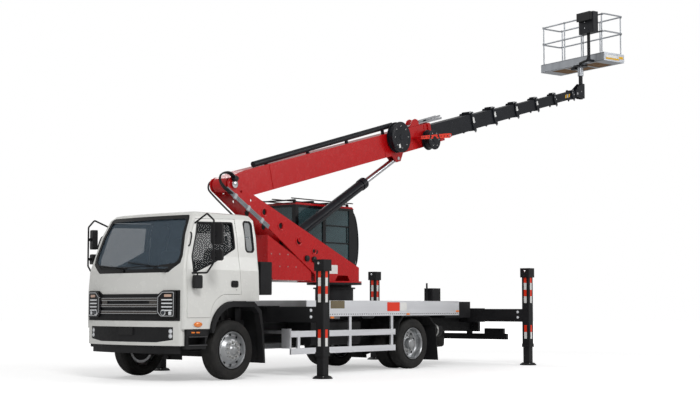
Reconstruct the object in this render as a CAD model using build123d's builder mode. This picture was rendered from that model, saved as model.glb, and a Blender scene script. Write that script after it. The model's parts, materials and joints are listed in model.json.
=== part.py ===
from build123d import *
from math import cos, hypot, radians, sin, sqrt
import os

# A cherry picker truck: a two-axle cab-over truck whose turning tower carries
# a telescopic boom with a basket. Millimetres, +Z up. The truck faces -X and
# its left side is -Y. The origin is on the ground at the middle of the box
# round the whole machine. Places along the truck are measured back from the
# front axle, and at() turns them into X.

os.makedirs("parts", exist_ok=True)

# Fits and walls
RUNNING = 0.05          # radial clearance of a shaft in its bore
SEAT = 0.3              # gap between faces of two bodies that rest near each other
PANEL_GAP = 5.0         # gap round a door
PLAY = 8.0              # gap round a sliding boom section inside its tube
SLIDE_FIT = 0.5         # gap at the pads that guide a sliding beam, leg or section

# Wheels and axles
TYRE_R = 435.0
TYRE_W = 255.0
TREAD_ROUND = 28.0
RIM_R = 270.0
RIM_DISH = 62.0
BEAD_R = 285.0
WHEELBASE = 4420.0
FRONT_TRACK_Y = 955.0
TWIN_PITCH = 300.0
SPINDLE_R = 42.0
HUB_R = 98.0
HUB_BULGE = 40.0
KINGPIN_Y = 822.0
KINGPIN_R = 24.0
AXLE_BEAM_H = 96.0
AXLE_TUBE_R = 74.0
DIFF_R = 215.0

# Frame and outriggers
RAIL_Y = 390.0
RAIL_W = 72.0
RAIL_WALL = 9.0
RAIL_LOW = 620.0
RAIL_TOP = 862.0
RAIL_FRONT = -390.0
CROSS_H = 130.0
FRONT_JACK_X = 1110.0
REAR_JACK_X = WHEELBASE + 2480.0
RAIL_REAR = REAR_JACK_X + 320.0
CROSS_LOW = (RAIL_LOW + RAIL_TOP - CROSS_H) / 2
SPARE_X = WHEELBASE + 1700.0
JACK_Y = 1850.0
BEAM_W = 150.0
BEAM_H = 235.0
BEAM_WALL = 12.0
BOX_WALL = 12.0
BOX_HALF_Y = 750.0
FRONT_BEAM_Z = 950.0
REAR_BEAM_Z = 905.0
LEG_SIZE = 150.0
LEG_WALL = 10.0
LEG_TOP = 1770.0
LEG_COLLAR_LOW = 330.0
CAP_H = 170.0
CAP_SIZE = 196.0
FOOT_R = 150.0
FOOT_H = 45.0
FOOT_EDGE = 14.0
LEG_DOWN = 380.0

# Cab
CAB_FRONT = -1075.0      # middle of the front below the screen
CAB_CORNER = -965.0      # front at the corners, behind the middle by the bow
CAB_REAR = 600.0
CAB_LOW = 750.0
CAB_ROOF = 2450.0
CAB_HALF_Y = 1055.0
CAB_WALL = 42.0
GLASS_T = 6.0
WAIST_Z = 1300.0
ARCH_FRONT = -455.0
ARCH_TOP = 1150.0
ARCH_GAP = 8.0
DOOR_FRONT = -900.0
DOOR_REAR = 190.0
DOOR_LOW = 912.0
DOOR_OVER_ARCH = 1248.0
DOOR_TOP = 2362.0
DOOR_LEAN = 8.0          # the top moves back as the door opens, because the cab leans in there
HINGE_R = 11.0

# The cab's body in level outlines from the floor up: height, front at the
# middle, front at the corner, half width, corner radius, rear
CAB_LEVELS = [
    (CAB_LOW, CAB_FRONT, CAB_CORNER, CAB_HALF_Y, 45.0, CAB_REAR),
    (WAIST_Z, CAB_FRONT, CAB_CORNER, CAB_HALF_Y, 45.0, CAB_REAR),
    (WAIST_Z + 300, CAB_FRONT + 45, CAB_CORNER + 15, CAB_HALF_Y - 20, 42.0, CAB_REAR + 5),
    (WAIST_Z + 500, CAB_FRONT + 110, CAB_CORNER + 72, CAB_HALF_Y - 55, 38.0, CAB_REAR + 8),
    (CAB_ROOF - 350, CAB_FRONT + 220, CAB_CORNER + 168, CAB_HALF_Y - 86, 38.0, CAB_REAR + 8),
    (CAB_ROOF - 85, CAB_FRONT + 350, CAB_CORNER + 298, CAB_HALF_Y - 138, 45.0, CAB_REAR),
    (CAB_ROOF - 18, CAB_FRONT + 405, CAB_CORNER + 360, CAB_HALF_Y - 200, 60.0, CAB_REAR - 28),
    (CAB_ROOF, CAB_FRONT + 480, CAB_CORNER + 440, CAB_HALF_Y - 275, 60.0, CAB_REAR - 85),
]

# Bumper and front panel
FRONT_OVERHANG = 1120.0
BUMPER_LOW = 515.0
BUMPER_TOP = 862.0
BUMPER_HALF_Y = 1005.0
STRIP_LOW = 400.0
GRILLE_LOW = 868.0
GRILLE_TOP = 1250.0

# Bed
BED_FRONT = 1565.0
BED_REAR = WHEELBASE + 1315.0
BED_HALF_Y = 1130.0
BED_TOP = 1165.0
BED_EDGE_LOW = 915.0
BED_PLATE_T = 30.0
BED_SILL_T = 45.0

# Tower, turning about a vertical axis
SLEW_X = 3580.0
PEDESTAL_R = 330.0
PEDESTAL_TOP = 1475.0
RING_R = 475.0
RING_T = 34.0
TOWER_LOW = 1500.0
PLATE_Y = 205.0
PLATE_T = 20.0
PIVOT_X = 880.0
PIVOT_Z = 2985.0
PIVOT_R = 38.0
PIVOT_ROUND = 125.0

# Lift cylinder
FOOT_PIN_X = 2455.0
FOOT_PIN_Z = 2190.0
LIFT_PIN_R = 32.0
BARREL_R = 92.0
BARREL_LONG = 2230.0
LIFT_ROD_R = 50.0
ROD_EYE_R = 68.0
EYE_HALF_W = 42.0
BARREL_COLLAR = 12.0
FOOT_HALF_W = BARREL_R + BARREL_COLLAR + 2
FOOT_EYE_R = 68.0
ROD_EYE_ALONG = 4510.0
ROD_EYE_DROP = 298.0

# Boom. Along is measured from the boom's pivot along its axis.
BOOM_ANGLE = 14.7
AXIS_DROP = 50.0
BASE_LONG = 5610.0
BASE_START = -60.0
BASE_H = 422.0
BASE_W = 300.0
BASE_WALL = 14.0
SECTION_WALL = 6.0
NECK_H = 62.0
SECTION_REAR_GAP = 60.0
COLLAR_GROW = 14.0
COLLAR_LONG = 110.0

# Basket
HEAD_PIN_R = 20.0
BASKET_TURN = -15.2
BASKET_LONG = 2010.0
BASKET_DEEP = 650.0
BASKET_H = 1020.0
TOE_H = 130.0
TOE_T = 4.0
RAIL_TUBE_R = 17.0
RAIL_BEND = 60.0
POST_X = 275.0
POST_UP = 440.0          # top of the swivel post above the head pin

# Telescopic sections: how far each stands out of the one before it, from
# end to end
SECTION_OUT = [1580.0, 830.0, 890.0, 870.0, 820.0, 830.0]
TIP_OUT = 150.0          # head pin beyond the end of the last section
STUB = 130.0             # what stays out when a section is drawn in
SECTION_IN = [SECTION_OUT[0] - STUB - 10] + [min(SECTION_OUT[1:]) - STUB] * (len(SECTION_OUT) - 1)
SECTION_REAR = 620.0     # rear end of the first section when it is drawn in


def turned(x, y, angle):
    """The place (x, y) after a turn by angle degrees about the origin."""
    c = cos(radians(angle))
    s = sin(radians(angle))
    return (x * c - y * s, x * s + y * c)


def along_boom(distance, lift=0.0):
    """X behind the front axle and Z of a place along the boom's axis."""
    dx, dz = turned(distance, lift - AXIS_DROP, BOOM_ANGLE)
    return (PIVOT_X + dx, PIVOT_Z + dz)


# Section sizes: each is smaller than the one before by its wall and the play
STEP = 2 * (SECTION_WALL + PLAY)
SECTION_H = [BASE_H - 2 * BASE_WALL - 2 * PLAY - NECK_H]
SECTION_W = [BASE_W - 2 * BASE_WALL - 2 * PLAY - 12.0]
for _ in SECTION_OUT[1:]:
    SECTION_H.append(SECTION_H[-1] - STEP)
    SECTION_W.append(SECTION_W[-1] - STEP)
SECTION_END = []
end = BASE_START + BASE_LONG
for out in SECTION_OUT:
    end += out
    SECTION_END.append(end)
TIP_ALONG = SECTION_END[-1] + TIP_OUT

# Basket place and the middle of the whole length
TIP_X, TIP_Z = along_boom(TIP_ALONG)
BASKET_NEAR = 0.0        # from the swivel post to the basket's near side
MAST_X = TIP_X + POST_X
BASKET_FLOOR = TIP_Z + 760.0
BASKET_MID = BASKET_NEAR + BASKET_DEEP / 2
BASKET_SHIFT = 275.0
corners = [turned(BASKET_MID + sx * BASKET_DEEP / 2, BASKET_SHIFT + sy * BASKET_LONG / 2, BASKET_TURN)
           for sx in (-1, 1) for sy in (-1, 1)]
REACH = MAST_X + max(x for x, y in corners)
BUMPER_BACK = 215.0 - FRONT_OVERHANG
FRONT_AXLE_X = (FRONT_OVERHANG - REACH) / 2


def at(x):
    """X of a place given behind the front axle."""
    return FRONT_AXLE_X + x


def keep(name, part):
    """Label a finished piece and write it."""
    part.label = name
    export_step(part, f"parts/{name}.step")


def side_plane(y=0.0):
    """A plane seen from the truck's left: local x is +X, local y is +Z, normal -Y."""
    return Plane(origin=(FRONT_AXLE_X, y, 0), x_dir=(1, 0, 0), z_dir=(0, -1, 0))


def cross_plane(x):
    """A plane across the truck at x: local x is +Y, local y is +Z, normal +X."""
    return Plane(origin=(at(x), 0, 0), x_dir=(0, 1, 0), z_dir=(1, 0, 0))


def floor_plane(z):
    """A level plane at height z, measured back from the front axle."""
    return Plane(origin=(FRONT_AXLE_X, 0, z), x_dir=(1, 0, 0), z_dir=(0, 0, 1))


DIR_X, DIR_Z = turned(1, 0, BOOM_ANGLE)


def boom_side(y=0.0):
    """The boom's own side plane: local x along the boom from its pivot, local y up from its axis."""
    x, z = along_boom(0)
    return Plane(origin=(at(x), y, z), x_dir=(DIR_X, 0, DIR_Z), z_dir=(0, -1, 0))


def boom_cross(distance):
    """A plane square to the boom: local x is +Y, local y is up, normal along the boom."""
    x, z = along_boom(distance)
    return Plane(origin=(at(x), 0, z), x_dir=(0, 1, 0), z_dir=(DIR_X, 0, DIR_Z))


def wheel(name, side, x, tyres_y, spindle_r, spindle_end):
    """Tyres on one hub. side is -1 for left. The disc of the outer tyre faces out."""
    outer = max(tyres_y)
    inner = min(tyres_y)
    axle = Plane(origin=(at(x), 0, TYRE_R), x_dir=(1, 0, 0), z_dir=(0, side, 0))
    with BuildPart() as part:
        for y in tyres_y:
            with BuildSketch(axle.offset(y - TYRE_W / 2)):
                Circle(TYRE_R)
                Circle(RIM_R, mode=Mode.SUBTRACT)
            extrude(amount=TYRE_W)
        fillet(part.edges().filter_by(GeomType.CIRCLE).filter_by(lambda e: e.radius > BEAD_R), TREAD_ROUND)
        disc_face = outer + TYRE_W / 2 - RIM_DISH
        with BuildSketch(axle.offset(inner - TYRE_W / 2 + RIM_DISH)):
            Circle(RIM_R + 1)
            Circle(RIM_R - 22, mode=Mode.SUBTRACT)
        extrude(amount=outer - inner + TYRE_W - 2 * RIM_DISH)
        with BuildSketch(axle.offset(disc_face - 16)):
            Circle(RIM_R - 20)
            with PolarLocations(RIM_R - 62, 10):
                Circle(20, mode=Mode.SUBTRACT)
        extrude(amount=16)
        with BuildSketch(axle.offset(inner - TYRE_W / 2 + RIM_DISH)):
            Circle(HUB_R)
        extrude(amount=disc_face + HUB_BULGE - (inner - TYRE_W / 2 + RIM_DISH), taper=2)
        with BuildSketch(axle.offset(0)):
            Circle(spindle_r + RUNNING)
        extrude(amount=spindle_end + SEAT, mode=Mode.SUBTRACT)
    keep(name, part.part)


FRONT_SPINDLE_END = FRONT_TRACK_Y + 70.0
REAR_SPINDLE_END = FRONT_TRACK_Y + 50.0
SIDES = [("left", -1), ("right", 1)]
for side_name, side in SIDES:
    wheel(f"front_wheel_{side_name}", side, 0, [FRONT_TRACK_Y], SPINDLE_R, FRONT_SPINDLE_END)
    wheel(f"rear_wheels_{side_name}", side, WHEELBASE, [FRONT_TRACK_Y, FRONT_TRACK_Y - TWIN_PITCH],
          SPINDLE_R, REAR_SPINDLE_END)

# Steering knuckles: a barrel round the kingpin with a flange and a spindle
KNUCKLE_R = 46.0
KNUCKLE_HALF_H = 62.0
FRONT_HUB_INNER = FRONT_TRACK_Y - TYRE_W / 2 + RIM_DISH
FLANGE_T = 18.0
for side_name, side in SIDES:
    with BuildPart() as knuckle:
        with BuildSketch(floor_plane(TYRE_R - KNUCKLE_HALF_H)):
            with Locations((0, side * KINGPIN_Y)):
                Circle(KNUCKLE_R)
        extrude(amount=2 * KNUCKLE_HALF_H)
        with BuildSketch(Plane(origin=(at(0), side * KINGPIN_Y, TYRE_R), x_dir=(1, 0, 0), z_dir=(0, side, 0))):
            Circle(SPINDLE_R)
        extrude(amount=FRONT_SPINDLE_END - KINGPIN_Y)
        with BuildSketch(Plane(origin=(at(0), side * (FRONT_HUB_INNER - SEAT - FLANGE_T), TYRE_R),
                               x_dir=(1, 0, 0), z_dir=(0, side, 0))):
            Circle(HUB_R + 40)
        extrude(amount=FLANGE_T)
        with BuildSketch(floor_plane(TYRE_R - KNUCKLE_HALF_H - 1)):
            with Locations((0, side * KINGPIN_Y)):
                Circle(KINGPIN_R + RUNNING)
        extrude(amount=2 * KNUCKLE_HALF_H + 2, mode=Mode.SUBTRACT)
    keep(f"knuckle_{side_name}", knuckle.part)

# Front axle: a dropped beam with forks and kingpins, and the leaf springs
FORK_T = 26.0
LUG_R = 38.0            # the fork's lugs end round, clear of the knuckle's flange when it turns
SPRING_LONG = 1250.0
SPRING_W = 76.0
SPRING_H = 60.0
AXLE_MID_Z = TYRE_R - 60.0
with BuildPart() as front_axle:
    beam_end = KINGPIN_Y - KNUCKLE_R - 24
    with BuildSketch(cross_plane(-AXLE_BEAM_H / 2)):
        with Locations((0, AXLE_MID_Z)):
            Rectangle(2 * beam_end, AXLE_BEAM_H)
        for side in (-1, 1):
            with Locations((side * (beam_end - 20), TYRE_R)):
                Rectangle(60, 2 * (KNUCKLE_HALF_H + SEAT + FORK_T))
    extrude(amount=AXLE_BEAM_H)
    for side in (-1, 1):
        for low in (TYRE_R - KNUCKLE_HALF_H - SEAT - FORK_T, TYRE_R + KNUCKLE_HALF_H + SEAT):
            with BuildSketch(floor_plane(low)):
                with Locations((0, side * (KINGPIN_Y + beam_end - 50) / 2)):
                    Rectangle(2 * LUG_R, KINGPIN_Y - beam_end + 50)
                with Locations((0, side * KINGPIN_Y)):
                    Circle(LUG_R)
            extrude(amount=FORK_T)
        with BuildSketch(floor_plane(TYRE_R - KNUCKLE_HALF_H - FORK_T)):
            with Locations((0, side * KINGPIN_Y)):
                Circle(KINGPIN_R)
        extrude(amount=2 * (KNUCKLE_HALF_H + FORK_T))
        with BuildSketch(side_plane(side * (RAIL_Y - SPRING_W / 2) + SPRING_W / 2)):
            with Locations((0, AXLE_MID_Z + AXLE_BEAM_H / 2 + SPRING_H / 2 - 2)):
                Rectangle(SPRING_LONG, SPRING_H)
            for end in (-1, 1):
                with Locations((end * (SPRING_LONG / 2 - 30), (AXLE_MID_Z + RAIL_LOW) / 2 + 30)):
                    Rectangle(50, RAIL_LOW - AXLE_MID_Z - 60 - SEAT)
        extrude(amount=SPRING_W)
keep("front_axle", front_axle.part)

# Rear axle: a tube with its differential, spindles and springs
with BuildPart() as rear_axle:
    hub_inner = FRONT_TRACK_Y - TWIN_PITCH - TYRE_W / 2 + RIM_DISH - SEAT
    centre = Plane(origin=(at(WHEELBASE), 0, TYRE_R), x_dir=(1, 0, 0), z_dir=(0, 1, 0))
    with BuildSketch(centre):
        Circle(AXLE_TUBE_R)
    extrude(amount=hub_inner, both=True)
    with BuildSketch(centre):
        Circle(SPINDLE_R)
    extrude(amount=REAR_SPINDLE_END, both=True)
    with Locations((at(WHEELBASE), 0, TYRE_R)):
        Sphere(DIFF_R)
    for side in (-1, 1):
        with BuildSketch(side_plane(side * (RAIL_Y - SPRING_W / 2) + SPRING_W / 2)):
            with Locations((WHEELBASE, TYRE_R + AXLE_TUBE_R + SPRING_H / 2 - 8)):
                Rectangle(SPRING_LONG, SPRING_H)
            for end in (-1, 1):
                with Locations((WHEELBASE + end * (SPRING_LONG / 2 - 30), (TYRE_R + AXLE_TUBE_R + RAIL_LOW) / 2)):
                    Rectangle(50, RAIL_LOW - TYRE_R - AXLE_TUBE_R - SEAT)
        extrude(amount=SPRING_W)
keep("rear_axle", rear_axle.part)

# Outrigger table: name, side, X of the beam behind the front axle, beam height.
# The beam of the right side runs behind that of the left, in its own tube.
TUBE_W = BEAM_W + 2 * SLIDE_FIT + 2 * BOX_WALL
TUBE_H = BEAM_H + 2 * SLIDE_FIT + 2 * BOX_WALL
TUBE_PITCH = TUBE_W - BOX_WALL
JACKS = [
    ("front_left", -1, FRONT_JACK_X, FRONT_BEAM_Z),
    ("front_right", 1, FRONT_JACK_X + TUBE_PITCH, FRONT_BEAM_Z),
    ("rear_left", -1, REAR_JACK_X, REAR_BEAM_Z),
    ("rear_right", 1, REAR_JACK_X + TUBE_PITCH, REAR_BEAM_Z),
]

# Frame: two channel rails, cross members, front stubs and the outrigger boxes
with BuildPart() as frame:
    for side in (-1, 1):
        with BuildSketch(cross_plane(RAIL_FRONT)):
            with Locations((side * (RAIL_Y - RAIL_W / 2), (RAIL_LOW + RAIL_TOP) / 2)):
                Rectangle(RAIL_W, RAIL_TOP - RAIL_LOW)
            with Locations((side * (RAIL_Y - RAIL_W / 2 - RAIL_WALL), (RAIL_LOW + RAIL_TOP) / 2)):
                Rectangle(RAIL_W, RAIL_TOP - RAIL_LOW - 2 * RAIL_WALL, mode=Mode.SUBTRACT)
        extrude(amount=RAIL_REAR - RAIL_FRONT)
        with BuildSketch(cross_plane(BUMPER_BACK + SEAT)):
            with Locations((side * (RAIL_Y - RAIL_W / 2), CAB_LOW - 70)):
                Rectangle(RAIL_W, 120)
        extrude(amount=RAIL_FRONT - BUMPER_BACK + 60)
    for x in (RAIL_FRONT + 20, FRONT_JACK_X + 640, SLEW_X - 880, SLEW_X + 20, WHEELBASE + 880, SPARE_X - 30,
              RAIL_REAR - 60):
        with BuildSketch(cross_plane(x)):
            with Locations((0, CROSS_LOW + CROSS_H / 2)):
                Rectangle(2 * RAIL_Y - RAIL_WALL, CROSS_H)
        extrude(amount=60)
    for jack_name, side, x, z in JACKS:
        with BuildSketch(side_plane(BOX_HALF_Y)):
            with Locations((x, z)):
                Rectangle(TUBE_W, TUBE_H)
        extrude(amount=2 * BOX_HALF_Y)
    for jack_name, side, x, z in JACKS:
        with BuildSketch(side_plane(BOX_HALF_Y)):
            with Locations((x, z)):
                Rectangle(TUBE_W - 2 * BOX_WALL, TUBE_H - 2 * BOX_WALL)
        extrude(amount=2 * BOX_HALF_Y, mode=Mode.SUBTRACT)
    for side in (-1, 1):
        with BuildSketch(cross_plane(CAB_REAR - 170)):
            with Locations((side * (RAIL_Y - RAIL_W / 2), (RAIL_TOP + ARCH_TOP) / 2)):
                Rectangle(RAIL_W, ARCH_TOP - RAIL_TOP - 2 * SEAT)
        extrude(amount=80)
keep("frame", frame.part)

# Outrigger beams and legs
BEAM_INNER_Y = 0.0
BEAM_END_Y = JACK_Y - LEG_SIZE / 2 + LEG_WALL - 2
for jack_name, side, x, z in JACKS:
    with BuildPart() as beam:
        with BuildSketch(side_plane(side * BEAM_END_Y)):
            with Locations((x, z)):
                Rectangle(BEAM_W, BEAM_H)
                Rectangle(BEAM_W - 2 * BEAM_WALL, BEAM_H - 2 * BEAM_WALL, mode=Mode.SUBTRACT)
        extrude(amount=side * (BEAM_END_Y - BEAM_INNER_Y))
        with BuildSketch(floor_plane(LEG_COLLAR_LOW)):
            with Locations((x, side * JACK_Y)):
                RectangleRounded(LEG_SIZE, LEG_SIZE, 12)
                RectangleRounded(LEG_SIZE - 2 * LEG_WALL, LEG_SIZE - 2 * LEG_WALL, 6, mode=Mode.SUBTRACT)
        extrude(amount=LEG_TOP - CAP_H - LEG_COLLAR_LOW + 1)
        with BuildSketch(floor_plane(LEG_TOP - CAP_H)):
            with Locations((x, side * JACK_Y)):
                RectangleRounded(CAP_SIZE, CAP_SIZE, 16)
        extrude(amount=CAP_H)
        with BuildSketch(floor_plane(LEG_COLLAR_LOW)):
            with Locations((x, side * JACK_Y)):
                RectangleRounded(LEG_SIZE + 16, LEG_SIZE + 16, 14)
                RectangleRounded(LEG_SIZE - 2 * LEG_WALL, LEG_SIZE - 2 * LEG_WALL, 6, mode=Mode.SUBTRACT)
        extrude(amount=60)
    keep(f"outrigger_beam_{jack_name}", beam.part)
    with BuildPart() as leg:
        inner = LEG_SIZE - 2 * LEG_WALL - 2 * SLIDE_FIT
        with BuildSketch(floor_plane(0)):
            with Locations((x, side * JACK_Y)):
                Circle(FOOT_R)
        extrude(amount=FOOT_EDGE)
        with BuildSketch(floor_plane(FOOT_EDGE)):
            with Locations((x, side * JACK_Y)):
                Circle(FOOT_R)
        extrude(amount=FOOT_H - FOOT_EDGE, taper=55)
        with BuildSketch(floor_plane(FOOT_EDGE)):
            with Locations((x, side * JACK_Y)):
                RectangleRounded(inner, inner, 10)
        extrude(amount=LEG_TOP - CAP_H - LEG_DOWN - FOOT_EDGE)
    keep(f"outrigger_leg_{jack_name}", leg.part)

# Engine: one block under the cab
ENGINE_FRONT = -230.0
ENGINE_LONG = 930.0
ENGINE_W = 560.0
ENGINE_H = 440.0
ENGINE_LOW = 610.0
with BuildPart() as engine:
    with BuildSketch(cross_plane(ENGINE_FRONT)):
        with Locations((0, ENGINE_LOW + ENGINE_H / 2)):
            Rectangle(ENGINE_W, ENGINE_H)
    extrude(amount=ENGINE_LONG)
    fillet(engine.edges().filter_by(Axis.X), 40)
    with BuildSketch(cross_plane(ENGINE_FRONT + ENGINE_LONG)):
        with Locations((0, ENGINE_LOW + 150)):
            Circle(150)
    extrude(amount=300, taper=4)
    with BuildSketch(cross_plane(ENGINE_FRONT + 430)):
        with Locations((0, RAIL_TOP + SEAT + 15)):
            Rectangle(2 * RAIL_Y - 20, 30)
    extrude(amount=120)
keep("engine", engine.part)


def cab_level(level, inset):
    """One level outline of the cab: bowed front, round corners, straight sides."""
    z, middle, corner, half, radius, rear = level
    if inset and z == CAB_LOW:
        z += inset
    if inset and z > CAB_ROOF - 100:
        z -= inset
    middle += inset
    corner += inset
    half -= inset
    rear -= inset
    radius = max(radius - inset, 6.0)
    round_in = radius * (1 - sqrt(0.5))
    with BuildSketch(floor_plane(z)) as outline:
        with BuildLine():
            ThreePointArc((corner, radius - half), (middle, 0), (corner, half - radius))
            ThreePointArc((corner, half - radius), (corner + round_in, half - round_in), (corner + radius, half))
            Line((corner + radius, half), (rear - radius, half))
            ThreePointArc((rear - radius, half), (rear - round_in, half - round_in), (rear, half - radius))
            Line((rear, half - radius), (rear, radius - half))
            ThreePointArc((rear, radius - half), (rear - round_in, round_in - half), (rear - radius, -half))
            Line((rear - radius, -half), (corner + radius, -half))
            ThreePointArc((corner + radius, -half), (corner + round_in, round_in - half), (corner, radius - half))
        make_face()
    return outline.sketch


def arch_profile(grow):
    """The wheel arch in side view, open below and behind, grown by grow."""
    with BuildSketch() as opening:
        with BuildLine():
            ThreePointArc((ARCH_FRONT, CAB_LOW), (ARCH_FRONT + 142, ARCH_TOP - 125), (-20, ARCH_TOP))
            Polyline((-20, ARCH_TOP), (CAB_REAR + 200, ARCH_TOP), (CAB_REAR + 200, CAB_LOW - 200),
                     (ARCH_FRONT, CAB_LOW - 200), (ARCH_FRONT, CAB_LOW))
        make_face()
        if grow:
            offset(amount=grow)
    return opening.sketch


def cab_body(inset):
    """The cab's rounded block, made smaller by inset all round."""
    with BuildPart() as body:
        for level in CAB_LEVELS:
            add(cab_level(level, inset))
        loft(ruled=True)
        with BuildSketch(side_plane()):
            add(arch_profile(inset))
        extrude(amount=2 * CAB_HALF_Y, both=True, mode=Mode.SUBTRACT)
    return body.part


cab_outer = cab_body(0)
cab_inner = cab_body(CAB_WALL)


def door_profile(grow, lean=0):
    """The door's outline in side view, grown by grow, its rear edge leaned forward by lean at the top."""
    with BuildSketch() as outline:
        with BuildLine():
            Polyline((DOOR_FRONT, DOOR_LOW), (DOOR_FRONT, WAIST_Z + 320), (DOOR_FRONT + 55, WAIST_Z + 500),
                     (DOOR_FRONT + 145, CAB_ROOF - 350), (DOOR_FRONT + 265, DOOR_TOP - 28),
                     (DOOR_REAR - 20 - lean, DOOR_TOP), (DOOR_REAR, DOOR_OVER_ARCH), (-150, DOOR_OVER_ARCH))
            ThreePointArc((-150, DOOR_OVER_ARCH), (-362, 1130), (-447, DOOR_LOW))
            Line((-447, DOOR_LOW), (DOOR_FRONT, DOOR_LOW))
        make_face()
        if grow:
            offset(amount=grow, kind=Kind.INTERSECTION)
    return outline.sketch


def window_profile(shrink):
    """The door window's outline in side view, made smaller by shrink."""
    with BuildSketch() as outline:
        with BuildLine():
            Polyline((DOOR_FRONT + 120, WAIST_Z + 236), (DOOR_FRONT + 120, WAIST_Z + 480),
                     (DOOR_FRONT + 290, DOOR_TOP - 70), (DOOR_REAR - 70, DOOR_TOP - 45),
                     (DOOR_REAR - 66, WAIST_Z + 620), (-310, WAIST_Z + 412), close=True)
        make_face()
        fillet(outline.vertices(), 40)
        if shrink:
            offset(amount=-shrink)
    return outline.sketch


HINGE_PIN_R = 5.0
KNUCKLE_H = 40.0
LUG_H = 20.0
DOOR_HINGES = [990.0, 1200.0]


def hinge_stack(x, y, z, r, low, high):
    """A short upright cylinder on a hinge axis, from z + low to z + high."""
    with BuildPart() as stack:
        with BuildSketch(floor_plane(z + low)):
            with Locations((x, y)):
                Circle(r)
        extrude(amount=high - low)
    return stack.part


def hinge_lugs(x, y, z):
    """The fixed half: a lug above and below the knuckle, and the pin through both."""
    with BuildPart() as lugs:
        add(hinge_stack(x, y, z, HINGE_R, -LUG_H - SEAT, -SEAT))
        add(hinge_stack(x, y, z, HINGE_R, KNUCKLE_H + SEAT, KNUCKLE_H + LUG_H + SEAT))
        add(hinge_stack(x, y, z, HINGE_PIN_R, -LUG_H, KNUCKLE_H + LUG_H))
    return lugs.part


def hinge_knuckle(x, y, z):
    """The moving half: a ring round the pin."""
    with BuildPart() as ring:
        add(hinge_stack(x, y, z, HINGE_R, 0, KNUCKLE_H))
    return ring.part


HINGE_ROOM = 3.0        # room cut round the other half of a hinge

# The screen's outline across the front: Y and Z
SCREEN_HALF_LOW = 950.0
SCREEN_HALF_TOP = 845.0
SCREEN_LOW = 1555.0
SCREEN_TOP = 2395.0
SCREEN_CUT = 200.0       # how far in the lower corners are cut


def screen_profile(shrink):
    """The windscreen's outline seen from the front, made smaller by shrink."""
    with BuildSketch() as outline:
        with BuildLine():
            Polyline((SCREEN_CUT - SCREEN_HALF_LOW, SCREEN_LOW), (SCREEN_HALF_LOW - SCREEN_CUT, SCREEN_LOW),
                     (SCREEN_HALF_LOW - 10, SCREEN_LOW + 135), (SCREEN_HALF_LOW, SCREEN_LOW + 245),
                     (SCREEN_HALF_TOP, SCREEN_TOP), (-SCREEN_HALF_TOP, SCREEN_TOP),
                     (-SCREEN_HALF_LOW, SCREEN_LOW + 245), (10 - SCREEN_HALF_LOW, SCREEN_LOW + 135), close=True)
        make_face()
        fillet(outline.vertices().filter_by(lambda v: v.Y > SCREEN_TOP - 1), 70)
        if shrink:
            offset(amount=-shrink)
    return outline.sketch


REAR_WINDOW = (900.0, 420.0, 2000.0)     # width, height, middle height
QUARTER = (196.0, 480.0, 434.0, 2112.0)  # width, height, middle X, middle height

with BuildPart() as cab_shell:
    add(cab_outer)
    add(cab_inner, mode=Mode.SUBTRACT)
    with BuildSketch(side_plane()):
        add(door_profile(PANEL_GAP))
    extrude(amount=2 * CAB_HALF_Y, both=True, mode=Mode.SUBTRACT)
    with BuildSketch(cross_plane(CAB_FRONT - 200)):
        add(screen_profile(0))
    extrude(amount=700, mode=Mode.SUBTRACT)
    with BuildSketch(cross_plane(CAB_REAR - 400)):
        with Locations((0, REAR_WINDOW[2])):
            RectangleRounded(REAR_WINDOW[0], REAR_WINDOW[1], 60)
    extrude(amount=700, mode=Mode.SUBTRACT)
    with BuildSketch(side_plane()):
        with Locations((QUARTER[2], QUARTER[3])):
            RectangleRounded(QUARTER[0], QUARTER[1], 60)
    extrude(amount=2 * CAB_HALF_Y, both=True, mode=Mode.SUBTRACT)
    for side in (-1, 1):
        for z in DOOR_HINGES:
            place = (DOOR_FRONT, side * CAB_HALF_Y, z)
            add(hinge_stack(*place, HINGE_R + HINGE_ROOM, -SEAT, KNUCKLE_H + SEAT), mode=Mode.SUBTRACT)
            add(hinge_lugs(*place))
keep("cab_shell", cab_shell.part)

# Panes follow the cab's skin: a thin shell of the same block, cut to each window
glass_outer = cab_body(CAB_WALL / 2 - GLASS_T / 2)
glass_inner = cab_body(CAB_WALL / 2 + GLASS_T / 2)
with BuildPart() as cab_glass:
    add(glass_outer)
    add(glass_inner, mode=Mode.SUBTRACT)
    with BuildSketch(cross_plane(CAB_FRONT - 200)):
        add(screen_profile(SEAT))
    extrude(amount=700, mode=Mode.INTERSECT)
with BuildPart() as back_glass:
    add(glass_outer)
    add(glass_inner, mode=Mode.SUBTRACT)
    with BuildSketch(cross_plane(CAB_REAR - 300)):
        with Locations((0, REAR_WINDOW[2])):
            RectangleRounded(REAR_WINDOW[0] - 2 * SEAT, REAR_WINDOW[1] - 2 * SEAT, 60)
    extrude(amount=700, mode=Mode.INTERSECT)
with BuildPart() as quarter_glass:
    add(glass_outer)
    add(glass_inner, mode=Mode.SUBTRACT)
    with BuildSketch(side_plane()):
        with Locations((QUARTER[2], QUARTER[3])):
            RectangleRounded(QUARTER[0] - 2 * SEAT, QUARTER[1] - 2 * SEAT, 60)
    extrude(amount=2 * CAB_HALF_Y, both=True, mode=Mode.INTERSECT)
keep("cab_glass", Compound(children=[*cab_glass.solids(), *back_glass.solids(), *quarter_glass.solids()]))

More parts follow.
